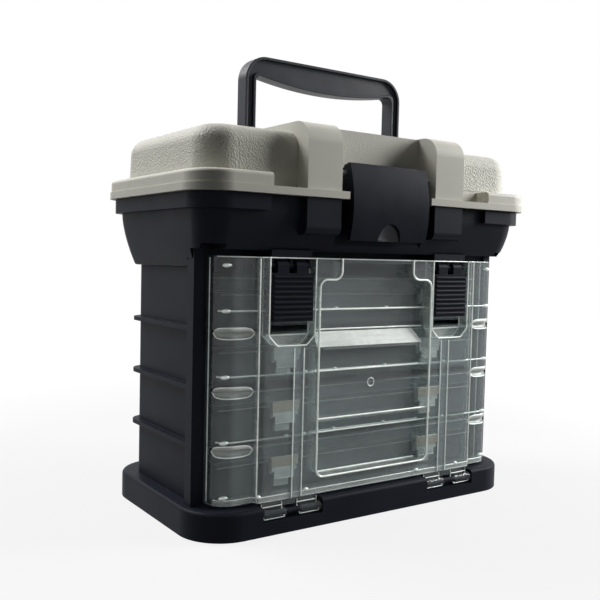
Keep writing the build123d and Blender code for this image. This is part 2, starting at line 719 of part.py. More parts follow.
with BuildPart() as door:
    with BuildSketch(Plane.XY.offset(door_bottom)):
        door_section(0)
    extrude(amount=door_top - door_bottom)
    block(-door_half - 1, door_half + 1, door_back, door_back + 3 * door_corner, 0, door_top + 5,
          Mode.SUBTRACT)
    with BuildSketch(Plane.XY.offset(door_bottom + door_wall)):
        door_section(door_wall)
    extrude(amount=door_top - door_bottom - 2 * door_wall, mode=Mode.SUBTRACT)
    block(-door_half + door_wall, door_half - door_wall, door_front + door_flange, door_back + 1,
          0, door_top + 5, Mode.SUBTRACT)
    # Ribs across the inside
    inner_face = door_mid_front + door_wall
    for index in range(3):
        rib_z = door_rib_top - index * door_rib_pitch
        block(-door_raise_half + door_wall / 2, door_raise_half - door_wall / 2, inner_face - 0.5,
              inner_face + door_rib_depth, rib_z - door_rib_wall / 2, rib_z + door_rib_wall / 2)
    # Notches with their flanges
    for side in (-1, 1):
        with BuildSketch(Plane.XZ.offset(-door_mid_front - notch_depth)):
            notch_shape(side * latch_x, notch_wall)
        extrude(amount=notch_depth - 0.5)
        with BuildSketch(Plane.XZ.offset(-door_back)):
            notch_shape(side * latch_x, 0)
        extrude(amount=3 * door_corner, mode=Mode.SUBTRACT)
    block(-door_half, door_half, door_mid_front - 5, door_back + 5, door_top, door_top + 10, Mode.SUBTRACT)
    # Slots that wrap round the front corners
    for index in range(tray_count - 1):
        slot_z = tray_bottom(index + 1) - tray_space / 2 - 0.5
        for side in (-1, 1):
            block(side * (door_raise_half + 0.5), side * (door_half + 2), door_front - 8,
                  door_back - 3, slot_z - slot_height / 2, slot_z + slot_height / 2, Mode.SUBTRACT)
    # Recessed middle with its rim, finger ledge, bar and back ribs
    pocket_floor = door_mid_front + pocket_depth
    pocket_back = pocket_floor + frame_wall
    rim_front = door_mid_front - frame_proud
    extrude(Location((0, pocket_back, 0)) * frame_shape(0), amount=pocket_back - rim_front)
    extrude(Location((0, pocket_floor, 0)) * frame_shape(-frame_wall), amount=pocket_depth + 5,
            mode=Mode.SUBTRACT)
    for index in range(3):
        rib_z = door_rib_top - index * door_rib_pitch
        block(-frame_half + 0.5, frame_half - 0.5, pocket_back - 0.5, pocket_back + pocket_rib_depth,
              rib_z - door_rib_wall / 2, rib_z + door_rib_wall / 2)
    bar_z = frame_bottom + frame_bar_height
    block(-frame_half + 0.5, frame_half - 0.5, door_mid_front, pocket_floor + 0.5,
          bar_z - frame_wall / 2, bar_z + frame_wall / 2)
    ledge_top = notch_floor + ledge_drop * 0.7
    ledge_low = ledge_top - ledge_drop
    with BuildSketch(Plane.YZ):
        Polygon((pocket_floor + 0.5, ledge_top), (pocket_floor - ledge_reach, ledge_low),
                (pocket_floor - ledge_reach, ledge_low - frame_wall), (pocket_floor + 0.5, ledge_top - frame_wall - 0.6),
                align=None)
    extrude(amount=ledge_half, both=True)
    # Strap ribs on the outside
    for x in (strap_rib_inner, strap_rib_outer):
        for side in (-1, 1):
            block(side * x - strap_rib_wall / 2, side * x + strap_rib_wall / 2, door_mid_front - frame_proud, door_mid_front + 0.5,
                  door_bottom, notch_floor - notch_wall)
    # Clips, their arms and the middle tongues
    clip_inner = hinge_rod_radius + seat_gap
    for side in (-1, 1):
        for end in (-1, 1):
            clip_x = side * hinge_x + end * (clip_reach - clip_width / 2)
            rod(clip_x, hinge_y, hinge_z, clip_inner + clip_wall, clip_width)
            block(clip_x - clip_width / 2, clip_x + clip_width / 2, door_mid_front,
                  door_mid_front + door_wall, hinge_z, door_bottom + 0.5)
        block(side * hinge_x - strap_width / 2, side * hinge_x + strap_width / 2, door_mid_front,
              door_mid_front + door_wall, hinge_z + clip_inner + 1, door_bottom + 0.5)
        rod(side * hinge_x, hinge_y, hinge_z, clip_inner, 2 * clip_reach + 1, Mode.SUBTRACT)
        block(side * hinge_x - clip_reach - 1, side * hinge_x + clip_reach + 1, hinge_y - 1.5, hinge_y + 1.5,
              hinge_z - clip_inner - clip_wall - 1, hinge_z - 1, Mode.SUBTRACT)
door.part.label = "door"
export_step(door.part, "parts/door.step")


# Door latches
hook_inner = latch_rod_radius + seat_gap
latch_plate_front = latch_rod_y - 3.6
latch_plate_top = latch_rod_z - 4.5


def make_door_latch(side):
    x = side * latch_x
    half = latch_width / 2
    plate_back = latch_plate_front + latch_wall
    grip_pitch = (latch_plate_top - latch_bottom) / (grip_count + 0.5)
    with BuildPart() as door_latch:
        block(x - half, x + half, latch_plate_front, plate_back, latch_bottom, latch_plate_top)
        # Stiffening cheek on the outer edge only: the trays' latches swing up behind the rest
        cheek_x = x + side * (half - cheek_wall / 2)
        block(cheek_x - cheek_wall / 2, cheek_x + cheek_wall / 2, latch_plate_front,
              plate_back + cheek_depth, latch_bottom + 2, latch_plate_top - 2)
        for index in range(grip_count):
            grip_z = latch_bottom + (index + 0.75) * grip_pitch
            with BuildSketch(Plane.YZ.offset(x)):
                with Locations((latch_plate_front, grip_z)):
                    Ellipse(grip_proud, grip_pitch * 0.36)
            extrude(amount=half - 1.2, both=True)
        for offset in (-1, 1):
            hook_x = x + offset * (lug_half / 2 - 0.5)
            rod(hook_x, latch_rod_y, latch_rod_z, hook_radius, hook_width)
            block(hook_x - hook_width / 2, hook_x + hook_width / 2, latch_rod_y - hook_radius,
                  latch_rod_y - hook_inner + 0.1, latch_plate_top - 1, latch_rod_z)
            rod(hook_x, latch_rod_y, latch_rod_z, hook_inner, hook_width + 1, Mode.SUBTRACT)
            block(hook_x - hook_width / 2 - 1, hook_x + hook_width / 2 + 1, latch_rod_y + 0.8,
                  latch_rod_y + 2 * hook_radius, latch_rod_z - hook_radius, latch_rod_z + 0.5, Mode.SUBTRACT)
    return door_latch.part


for side, place in ((-1, "left"), (1, "right")):
    latch_name = "door_latch_" + place
    door_latch = make_door_latch(side)
    door_latch.label = latch_name
    export_step(door_latch, "parts/" + latch_name + ".step")


# Lid
fold_low = handle_pivot_z - handle_thickness / 2 - channel_gap
grip_fold_front = handle_pivot_y + (handle_top - grip_height - grip_belly - handle_pivot_z) - channel_gap
channel_front = handle_pivot_y - handle_thickness / 2 - channel_gap
leg_inner = handle_half - leg_width
channel_inner = leg_inner - channel_gap
channel_outer = handle_half + channel_gap


def channels(grow, top, mode):
    """Room for the folded handle: one channel for each leg and one across for the grip."""
    for side in (-1, 1):
        block(side * (channel_inner - grow), side * (channel_outer + grow), channel_front - grow,
              lid_back, fold_low - grow, top, mode)
    block(-channel_outer - grow, channel_outer + grow, grip_fold_front - grow, lid_back,
          fold_low - grow, top, mode)


def band_profile(x, inset):
    """Side profile of a raised band, square at the lip and rounded at the top."""
    low = lip_top - 1
    high = band_top - inset
    front = band_front + inset
    back = band_back - inset
    radius = band_round - inset
    with BuildSketch(Plane.YZ.offset(x)) as profile:
        with BuildLine():
            Polyline((front, high - radius), (front, low), (back, low), (back, high - radius))
            CenterArc((back - radius, high - radius), radius, 0, 90)
            Line((back - radius, high), (front + radius, high))
            CenterArc((front + radius, high - radius), radius, 90, 90)
        make_face()
    return profile.sketch


band_middle = (column_inner + column_outer) / 2
band_half = (column_outer - column_inner) / 2

with BuildPart() as lid_bands:
    for side in (-1, 1):
        extrude(band_profile(side * band_middle, 0), amount=band_half, both=True)

with BuildPart() as lid_belt:
    with BuildSketch(Plane.XY.offset(lip_top - 0.5)):
        outline(lid_width / 2 - 0.8, lid_front + 0.8, lid_back - 0.8, lid_corner - 0.8)
    extrude(amount=lid_belt_height + 0.5)
    fillet(lid_belt.faces().sort_by(Axis.Z)[-1].edges(), 2.5)
    block(-belt_end, belt_end, lid_front - 1, dome_front + wall, lip_top, lid_belt_top + 1, Mode.SUBTRACT)

with BuildPart() as lid_hollow:
    with BuildSketch(Plane.XY.offset(lip_top - 1)):
        outline(dome_half - wall, dome_front + wall, dome_back - wall, dome_corner - wall)
    extrude(amount=dome_top - wall - lip_top + 1, taper=dome_taper)
    fillet(lid_hollow.faces().sort_by(Axis.Z)[-1].edges(), dome_round - wall)
    with BuildSketch(Plane.XY.offset(lid_bottom - 1)):
        outline(lid_width / 2 - 2 * wall, lid_front + 2 * wall, lid_back - 2 * wall, lid_corner - 2 * wall)
    extrude(amount=lid_belt_top - wall - lid_bottom + 1)
    block(-belt_end - wall, belt_end + wall, lid_front, dome_front + wall,
          lid_bottom + tongue_height + 0.5, lid_belt_top, Mode.SUBTRACT)
    block(-column_inner, column_inner, recess_front + wall, dome_back - wall - 2,
          lip_top, band_top - wall - 0.5)
    for side in (-1, 1):
        extrude(band_profile(side * band_middle, wall), amount=band_half - wall, both=True)
    block(-column_inner - wall, column_inner + wall, lid_front, recess_front + wall, 0, band_top,
          Mode.SUBTRACT)
    channels(wall, band_top + 1, Mode.SUBTRACT)

with BuildPart() as lid:
    with BuildSketch(Plane.XY.offset(lid_bottom)):
        outline(lid_width / 2, lid_front, lid_back, lid_corner)
    extrude(amount=lip_height)
    add(lid_belt.part)
    with BuildSketch(Plane.XY.offset(lip_top - 1)):
        outline(dome_half, dome_front, dome_back, dome_corner)
    extrude(amount=dome_top - lip_top + 1, taper=dome_taper)
    fillet(lid.faces().sort_by(Axis.Z)[-1].edges(), dome_round)
    block(-column_inner - 1, column_inner + 1, recess_front - 1, dome_back - 3, lip_top, band_top - 0.5)
    add(lid_bands.part)
    block(-column_inner, column_inner, lid_front - 1, recess_front, lip_top, band_top + 1, Mode.SUBTRACT)
    block(-bay_half + 2.5, bay_half - 2.5, lid_front - 1, dome_front + 4, 0, band_top, Mode.SUBTRACT)
    add(lid_hollow.part, mode=Mode.SUBTRACT)
    channels(0, band_top + 5, Mode.SUBTRACT)
    for side in (-1, 1):
        pin_x = side * (channel_inner + channel_outer) / 2
        rod(pin_x, handle_pivot_y, handle_pivot_z, handle_pin_radius + pin_gap,
            channel_outer - channel_inner + 2 * wall, Mode.SUBTRACT)
        knuckle_half = knuckle_width / 2 - move_gap / 2
        rod(side * lid_hinge_x, lid_hinge_y, lid_hinge_z, knuckle_radius, 2 * knuckle_half)
        block(side * lid_hinge_x - knuckle_half, side * lid_hinge_x + knuckle_half, lid_back - 1,
              lid_hinge_y, lid_bottom, lid_hinge_z + knuckle_radius)
        rod(side * lid_hinge_x, lid_hinge_y, lid_hinge_z, lid_pin_radius + pin_gap,
            3 * knuckle_width, Mode.SUBTRACT)
    rod(0, lid_latch_pin_y, lid_latch_pin_z, lid_latch_pin_radius + pin_gap,
        2 * (column_inner + wall) + 1, Mode.SUBTRACT)
lid.part.label = "lid"
export_step(lid.part, "parts/lid.step")


# Lid latch: bulged plate hung on a pin between the bands
lid_latch_half = lid_latch_width / 2
with BuildPart() as lid_latch:
    with BuildSketch(Plane.YZ):
        middle = (lid_latch_top + lid_latch_bottom) / 2
        top_y = lid_latch_front + 1.6
        with BuildLine():
            ThreePointArc((top_y, lid_latch_top), (lid_latch_front - lid_latch_bulge, middle),
                          (lid_latch_front, lid_latch_bottom))
            Line((lid_latch_front, lid_latch_bottom),
                 (lid_latch_front + lid_latch_wall, lid_latch_bottom + 0.4))
            ThreePointArc((lid_latch_front + lid_latch_wall, lid_latch_bottom + 0.4),
                          (lid_latch_front - lid_latch_bulge + lid_latch_wall, middle),
                          (top_y + lid_latch_wall, lid_latch_top))
            Line((top_y + lid_latch_wall, lid_latch_top), (top_y, lid_latch_top))
        make_face()
    extrude(amount=lid_latch_half, both=True)
    for side in (-1, 1):
        with BuildSketch(Plane.YZ.offset(side * (lid_latch_half - lid_latch_cheek / 2))):
            with BuildLine():
                ThreePointArc((top_y, lid_latch_top), (lid_latch_front - lid_latch_bulge, middle),
                              (lid_latch_front, lid_latch_bottom))
                Polyline((lid_latch_front, lid_latch_bottom), (lid_latch_front + 4, lid_latch_bottom + 4),
                         (lid_latch_pin_y + 2, 190), (lid_latch_pin_y + 3, lid_latch_pin_z),
                         (lid_latch_pin_y + 1, lid_latch_top - 1), (top_y, lid_latch_top))
            make_face()
        extrude(amount=lid_latch_cheek / 2, both=True)
    rod(0, lid_latch_pin_y, lid_latch_pin_z, 4.0, lid_latch_width)
    block(-lid_latch_half, lid_latch_half, top_y - 1.5, lid_latch_pin_y, lid_latch_pin_z - 1.5,
          lid_latch_pin_z + 1.5)
    # Nose that meets the catch on the bin
    block(-thumb_radius * 2, thumb_radius * 2, lid_latch_front - 0.8, bay_back - catch_reach - seat_gap,
          catch_height - move_gap - 3, catch_height - move_gap)
    # Thumb scoop in the lower edge
    with BuildSketch(Plane.XZ.offset(-lid_latch_front - 10)):
        with Locations((0, lid_latch_bottom)):
            Ellipse(thumb_radius, 11)
    extrude(amount=20, mode=Mode.SUBTRACT)
    rod(0, lid_latch_pin_y, lid_latch_pin_z, lid_latch_pin_radius + pin_gap, lid_latch_width + 2,
        Mode.SUBTRACT)
lid_latch.part.label = "lid_latch"
export_step(lid_latch.part, "parts/lid_latch.step")

with BuildPart() as lid_latch_pin:
    rod(0, lid_latch_pin_y, lid_latch_pin_z, lid_latch_pin_radius, 2 * (column_inner + wall) + 2)
lid_latch_pin.part.label = "lid_latch_pin"
export_step(lid_latch_pin.part, "parts/lid_latch_pin.step")


# Handle: bail with rimmed legs
grip_low = handle_top - grip_height


def handle_shape(y, inset, foot):
    """Front outline of the bail, drawn in by an inset and cut off at the foot height."""
    outer = handle_half - inset
    inner = leg_inner + inset
    top = handle_top - inset
    low = grip_low + inset
    radius = handle_corner - inset
    with BuildSketch(Plane.XZ.offset(-y)) as shape:
        with BuildLine():
            Polyline((-inner, low - 4), (-inner, foot), (-outer, foot), (-outer, top - radius))
            CenterArc((-outer + radius, top - radius), radius, 90, 90)
            Line((-outer + radius, top), (outer - radius, top))
            CenterArc((outer - radius, top - radius), radius, 0, 90)
            Polyline((outer, top - radius), (outer, foot), (inner, foot), (inner, low - 4))
            CenterArc((inner - 4, low - 4), 4, 0, 90)
            ThreePointArc((inner - 4, low), (0, low - grip_belly), (-inner + 4, low))
            CenterArc((-inner + 4, low - 4), 4, 90, 90)
        make_face()
    return shape.sketch


with BuildPart() as handle:
    extrude(handle_shape(handle_pivot_y, 0, handle_pivot_z), amount=handle_thickness / 2, both=True)
    for face in (-1, 1):
        start = handle_pivot_y + face * (handle_thickness / 2 - handle_web_cut)
        extrude(handle_shape(start, handle_rim, handle_pivot_z + handle_thickness),
                amount=-face * (handle_web_cut + 1), mode=Mode.SUBTRACT)
    for side in (-1, 1):
        rod(side * (leg_inner + leg_width / 2), handle_pivot_y, handle_pivot_z, handle_thickness / 2, leg_width)
        rod(side * (leg_inner + leg_width / 2), handle_pivot_y, handle_pivot_z,
            handle_pin_radius + pin_gap, leg_width + 1, Mode.SUBTRACT)
handle.part.label = "handle"
export_step(handle.part, "parts/handle.step")


# Pins of the handle and of the lid
for side, place in ((-1, "left"), (1, "right")):
    with BuildPart() as handle_pin:
        rod(side * (channel_inner + channel_outer) / 2, handle_pivot_y, handle_pivot_z,
            handle_pin_radius, channel_outer - channel_inner + 2 * wall - 0.4)
    handle_pin.part.label = "handle_pin_" + place
    export_step(handle_pin.part, "parts/handle_pin_" + place + ".step")
    with BuildPart() as lid_hinge_pin:
        rod(side * lid_hinge_x, lid_hinge_y, lid_hinge_z, lid_pin_radius, 3 * knuckle_width - move_gap)
    lid_hinge_pin.part.label = "lid_hinge_pin_" + place
    export_step(lid_hinge_pin.part, "parts/lid_hinge_pin_" + place + ".step")
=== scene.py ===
import json
import math

import bmesh
import bpy
from mathutils import Matrix, Vector

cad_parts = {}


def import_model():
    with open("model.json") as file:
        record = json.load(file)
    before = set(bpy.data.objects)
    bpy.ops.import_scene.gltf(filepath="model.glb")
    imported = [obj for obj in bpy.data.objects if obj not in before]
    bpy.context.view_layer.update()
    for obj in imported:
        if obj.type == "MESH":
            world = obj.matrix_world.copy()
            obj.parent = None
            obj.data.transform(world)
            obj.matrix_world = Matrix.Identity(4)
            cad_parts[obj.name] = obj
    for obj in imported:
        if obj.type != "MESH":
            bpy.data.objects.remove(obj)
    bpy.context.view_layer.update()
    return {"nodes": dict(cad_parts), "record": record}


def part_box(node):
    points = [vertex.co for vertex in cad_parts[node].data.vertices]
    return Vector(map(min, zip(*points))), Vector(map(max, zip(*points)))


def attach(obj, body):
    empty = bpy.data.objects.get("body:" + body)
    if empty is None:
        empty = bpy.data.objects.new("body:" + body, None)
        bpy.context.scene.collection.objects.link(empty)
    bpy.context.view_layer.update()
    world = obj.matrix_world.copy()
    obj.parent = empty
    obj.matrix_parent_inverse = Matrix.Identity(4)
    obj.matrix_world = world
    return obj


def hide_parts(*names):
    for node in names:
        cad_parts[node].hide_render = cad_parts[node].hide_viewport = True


# Rack tackle box: finishes, clear door and trays, light and camera.
# Metres throughout; MM turns the drawing's millimetres into metres.

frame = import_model()
MM = 0.001


# Small tools for node trees

# Sockets of a mix node that mixes colours
MIX_FIRST, MIX_SECOND, MIX_RESULT = 6, 7, 2


class Finish:
    """A new material and short ways to add nodes to it."""

    def __init__(self, name):
        self.material = bpy.data.materials.new(name)
        self.material.use_nodes = True
        self.tree = self.material.node_tree
        self.tree.nodes.clear()
        self.output = self.node("ShaderNodeOutputMaterial")
        self.place = self.node("ShaderNodeTexCoord").outputs["Object"]

    def node(self, kind, **values):
        made = self.tree.nodes.new(kind)
        for name, value in values.items():
            setattr(made, name, value)
        return made

    def link(self, source, socket):
        self.tree.links.new(source, socket)

    def feed(self, socket, value):
        """Sets a socket to a plain value or links it to another node's output."""
        if isinstance(value, bpy.types.NodeSocket):
            self.link(value, socket)
        else:
            socket.default_value = value

    def noise(self, scale, detail=3.0, roughness=0.55, place=None):
        made = self.node("ShaderNodeTexNoise")
        self.link(place or self.place, made.inputs["Vector"])
        made.inputs["Scale"].default_value = scale
        made.inputs["Detail"].default_value = detail
        made.inputs["Roughness"].default_value = roughness
        return made.outputs["Fac"]

    def stretched(self, scale):
        """The piece's own coordinates, scaled by axis."""
        made = self.node("ShaderNodeMapping")
        self.link(self.place, made.inputs["Vector"])
        made.inputs["Scale"].default_value = scale
        return made.outputs["Vector"]

    def cells(self, scale):
        made = self.node("ShaderNodeTexVoronoi", feature="SMOOTH_F1")
        self.link(self.place, made.inputs["Vector"])
        made.inputs["Scale"].default_value = scale
        made.inputs["Smoothness"].default_value = 0.6
        return made.outputs["Distance"]

    def span(self, value, low, high, to_low, to_high):
        """Maps a value's span to another one, held inside it."""
        made = self.node("ShaderNodeMapRange", clamp=True)
        self.link(value, made.inputs["Value"])
        spans = (("From Min", low), ("From Max", high), ("To Min", to_low), ("To Max", to_high))
        for name, number in spans:
            made.inputs[name].default_value = number
        return made.outputs["Result"]

    def calc(self, kind, first, second=0.0, third=0.0):
        made = self.node("ShaderNodeMath", operation=kind)
        for socket, value in zip(made.inputs, (first, second, third)):
            self.feed(socket, value)
        return made.outputs["Value"]

    def mix(self, share, first, second):
        made = self.node("ShaderNodeMix", data_type="RGBA")
        self.feed(made.inputs["Factor"], share)
        self.feed(made.inputs[MIX_FIRST], first)
        self.feed(made.inputs[MIX_SECOND], second)
        return made.outputs[MIX_RESULT]

    def bump(self, height, depth, strength=1.0, normal=None):
        made = self.node("ShaderNodeBump")
        made.inputs["Strength"].default_value = strength
        made.inputs["Distance"].default_value = depth
        self.link(height, made.inputs["Height"])
        if normal is not None:
            self.link(normal, made.inputs["Normal"])
        return made.outputs["Normal"]

    def axes(self):
        made = self.node("ShaderNodeSeparateXYZ")
        self.link(self.place, made.inputs["Vector"])
        return made.outputs

    def shell(self, colour, roughness, normal=None, **constants):
        """Principled shader: colour and roughness may be linked, the rest are plain values."""
        made = self.node("ShaderNodeBsdfPrincipled")
        self.feed(made.inputs["Base Color"], colour)
        self.feed(made.inputs["Roughness"], roughness)
        if normal is not None:
            self.link(normal, made.inputs["Normal"])
        for name, value in constants.items():
            made.inputs[name.replace("_", " ")].default_value = value
        return made.outputs["BSDF"]

    def glossy(self, roughness, colour, normal=None):
        made = self.node("ShaderNodeBsdfGlossy")
        made.inputs["Roughness"].default_value = roughness
        made.inputs["Color"].default_value = colour
        if normal is not None:
            self.link(normal, made.inputs["Normal"])
        return made.outputs["BSDF"]

    def blend(self, share, first, second):
        """Mixes two shaders by a share of the second one."""
        made = self.node("ShaderNodeMixShader")
        self.feed(made.inputs["Fac"], share)
        self.link(first, made.inputs[1])
        self.link(second, made.inputs[2])
        return made.outputs["Shader"]

    def done(self, shader):
        self.link(shader, self.output.inputs["Surface"])
        return self.material


# Finishes
# Noise takes cells per metre, octaves and roughness. A span takes the part of a noise that it
# uses, and then the values that this part becomes. A bump takes a depth and a strength.

# Noise scales of the moulded grain and of the lid's leather, from their spacing
GRAIN = 1 / (0.38 * MM)
HIDE = 1 / (1.15 * MM)
WHITE = (1, 1, 1, 1)
BLACK = (0.0110, 0.0125, 0.0195, 1)
BLACK_WORN = (0.019, 0.0205, 0.029, 1)
GREY = (0.640, 0.630, 0.560, 1)
GREY_DIRT = (0.540, 0.530, 0.465, 1)
CREAM = (0.88, 0.80, 0.64, 1)
CREAM_DARK = (0.76, 0.66, 0.50, 1)
CLEAR_TINT = (0.93, 0.955, 0.96, 1)
HAZE = (0.60, 0.66, 0.67, 1)
# Pale haze colours: painted light, standing in for light piped along clear rims and edges and for
# the ledge's highlight
LEDGE_PAINTED_HIGHLIGHT = (0.66, 0.69, 0.66, 1)
EDGE_PAINTED_LIGHT = (0.80, 0.84, 0.80, 1)
PIPED_LIGHT = (0.96, 1.0, 0.95, 1)
STEEL = (0.50, 0.50, 0.51, 1)
STEEL_DARK = (0.36, 0.36, 0.37, 1)
CLEAR_IOR = 1.46


def black_plastic():
    """Moulded plastic with a fine spark-eroded grain, a little lighter where it has been rubbed."""
    f = Finish("black plastic")
    cloud = f.noise(26.0, 2.0)
    grain = f.noise(GRAIN, 2.0, 0.6)
    colour = f.mix(f.span(cloud, 0.35, 0.7, 0.0, 0.6), BLACK, BLACK_WORN)
    roughness = f.span(f.calc("ADD", grain, cloud), 0.6, 1.4, 0.40, 0.56)
    normal = f.bump(grain, 0.035 * MM, 0.4)
    return f.done(f.shell(colour, roughness, normal, Specular_IOR_Level=0.06))


def black_smooth(name, shine, relief=0.04):
    """Plainer black plastic for the handle and the latches."""
    f = Finish(name)
    cloud = f.noise(40.0, 3.0)
    grain = f.noise(GRAIN * 1.4, 2.0, 0.5)
    colour = f.mix(f.span(cloud, 0.35, 0.7, 0.0, 0.5), BLACK, BLACK_WORN)
    roughness = f.span(cloud, 0.3, 0.7, 0.34, 0.46)
    normal = f.bump(grain, relief * MM, 0.5)
    return f.done(f.shell(colour, roughness, normal, Specular_IOR_Level=shine))


# The lid's raised bands from its middle, the top of its belt, and how softly the leather ends
BAND_INNER = 38.4 * MM
BAND_OUTER = 63.6 * MM
LID_BELT_TOP = 212.9 * MM
BAND_FADE = 0.6 * MM
BELT_FADE = 0.8 * MM
LEATHER_BETWEEN_BANDS = 0.35
LEATHER_DEPTH = 0.42 * MM


def grey_plastic():
    """Warm grey lid: leather grain on the domed panels, smooth bands, belt and lip."""
    f = Finish("warm grey plastic")
    axes = f.axes()
    across = f.calc("ABSOLUTE", axes["X"])
    outside_band = f.span(across, BAND_OUTER, BAND_OUTER + BAND_FADE, 0.0, 1.0)
    above_belt = f.span(axes["Z"], LID_BELT_TOP, LID_BELT_TOP + BELT_FADE, 0.0, 1.0)
    between = f.span(across, BAND_INNER - BAND_FADE, BAND_INNER, LEATHER_BETWEEN_BANDS, 0.0)
    panels = f.calc("MULTIPLY", f.calc("MAXIMUM", outside_band, between), above_belt)
    hide = f.cells(HIDE)
    fine = f.noise(GRAIN * 0.8, 3.0, 0.6)
    relief = f.calc("MULTIPLY_ADD", hide, 0.8, f.calc("MULTIPLY", fine, 0.35))
    leather = f.calc("MULTIPLY", relief, panels)
    cloud = f.noise(18.0, 3.0)
    colour = f.mix(f.span(cloud, 0.35, 0.75, 0.0, 0.5), GREY, GREY_DIRT)
    pits = f.calc("MULTIPLY", f.span(hide, 0.15, 0.75, 0.0, 0.30), panels)
    colour = f.mix(pits, colour, GREY_DIRT)
    normal = f.bump(fine, 0.03 * MM, 0.35)
    normal = f.bump(leather, LEATHER_DEPTH, 0.9, normal)
    roughness = f.span(f.calc("ADD", fine, cloud), 0.6, 1.4, 0.44, 0.60)
    return f.done(f.shell(colour, roughness, normal, Specular_IOR_Level=0.20))


def clear_plastic(name, haze, haze_colour, gloss_share, piped=0.0):
    """See-through plastic: thin haze with scratches and, on outer faces, a polished mirror."""
    f = Finish(name)
    scuff = f.noise(90.0, 4.0, 0.65)
    streaks = f.noise(55.0, 3.0, 0.6, f.stretched((1.0, 1.0, 9.0)))
    marks = f.calc("ADD", scuff, streaks)
    cloudy = f.span(marks, 0.75, 1.35, haze * 0.8, min(haze * 1.25, 0.95))
    ripple = f.bump(f.noise(60.0, 2.0), 0.06 * MM, 0.2)
    body = f.shell(haze_colour, 0.35, ripple, Specular_IOR_Level=0.3)
    if piped > 0.0:
        # Rims and cut edges carry light inside the wall and give it out again
        body = f.blend(piped, body, f.glossy(0.45, PIPED_LIGHT))
    see = f.node("ShaderNodeBsdfTransparent")
    see.inputs["Color"].default_value = CLEAR_TINT
    wall = f.blend(cloudy, see.outputs["BSDF"], body)
    mirror = f.node("ShaderNodeFresnel")
    mirror.inputs["IOR"].default_value = CLEAR_IOR
    gloss = f.calc("MULTIPLY", mirror.outputs["Fac"], gloss_share)
    outside = f.calc("SUBTRACT", 1.0, f.node("ShaderNodeNewGeometry").outputs["Backfacing"])
    share = f.calc("MULTIPLY", gloss, outside)
    return f.done(f.blend(share, wall, f.glossy(0.12, WHITE, ripple)))


def cream_plastic():
    """Cream caps of the lower trays' latches, with a soft mottle."""
    f = Finish("cream plastic")
    cloud = f.noise(160.0, 3.0)
    colour = f.mix(f.span(cloud, 0.3, 0.7, 0.0, 0.5), CREAM, CREAM_DARK)
    roughness = f.span(cloud, 0.3, 0.7, 0.35, 0.5)
    normal = f.bump(f.noise(GRAIN, 2.0), 0.04 * MM, 0.5)
    return f.done(f.shell(colour, roughness, normal))


def steel():
    """Drawn wire of the pins and the screws."""
    f = Finish("pin steel")
    lines = f.noise(4000.0, 2.0, 0.5, f.stretched((0.05, 1.0, 1.0)))
    colour = f.mix(f.span(lines, 0.3, 0.7, 0.0, 1.0), STEEL, STEEL_DARK)
    roughness = f.span(lines, 0.3, 0.7, 0.25, 0.42)
    return f.done(f.shell(colour, roughness, f.bump(lines, 0.01 * MM), Metallic=1.0))


black = black_plastic()
latch_black = black_smooth("latch black plastic", 0.05)
rack_black = black_smooth("rack back plastic", 0.05, 0.004)
handle_black = black_smooth("handle black plastic", 0.24)
grey = grey_plastic()
# Clear plastic by place: haze, its colour, share of the mirror and light piped to the edges. The
# flank, edge, ledge, tray edge and tab finishes are hazier and paler than the walls: painted light
# for light piped along rims, the grazing shine of flanks and the ledge's highlight
clear_door = clear_plastic("clear door plastic", 0.15, HAZE, 0.60)
clear_flank_painted_light = clear_plastic("clear door flank", 0.27, EDGE_PAINTED_LIGHT, 0.6, piped=0.20)
clear_line_painted_highlight = clear_plastic("clear door edge", 0.74, EDGE_PAINTED_LIGHT, 0.4, piped=0.44)
clear_ledge_painted_highlight = clear_plastic("clear door ledge", 0.78, LEDGE_PAINTED_HIGHLIGHT, 0.2, piped=0.12)
clear_tray = clear_plastic("clear tray plastic", 0.20, HAZE, 0.15)
clear_tray_edge_painted_light = clear_plastic("clear tray edge", 0.42, EDGE_PAINTED_LIGHT, 0.2, piped=0.16)
clear_clip = clear_plastic("clear clip plastic", 0.04, HAZE, 0.35)
clear_tab_painted_light = clear_plastic("clear tab plastic", 0.74, EDGE_PAINTED_LIGHT, 0.2, piped=0.34)
cream = cream_plastic()
pin_steel = steel()


# Pieces

def body_of(node):
    for body, nodes in frame["record"]["behaviour"]["bodies"].items():
        if node in nodes:
            return body
    raise KeyError(node)


def put(node, material):
    """Gives a CAD node its finish."""
    mesh = frame["nodes"][node].data
    mesh.materials.clear()
    mesh.materials.append(material)


def finished(piece, body, slot, *nodes):
    """Rides a piece on its body and lets it stand for the CAD nodes that it follows."""
    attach(piece, body)
    if nodes:
        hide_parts(*nodes)
    return piece


def settle(piece):
    """Turns a piece with its modifiers into one plain mesh at the origin."""
    name = piece.name
    graph = bpy.context.evaluated_depsgraph_get()
    mesh = bpy.data.meshes.new_from_object(piece.evaluated_get(graph))
    mesh.transform(piece.matrix_world)
    bpy.data.objects.remove(piece)
    mesh.name = name
    plain = bpy.data.objects.new(name, mesh)
    bpy.context.scene.collection.objects.link(plain)
    return plain


MERGE = 0.004 * MM
FLAT_WITHIN = math.radians(0.6)
SHARP_FROM = math.radians(28)


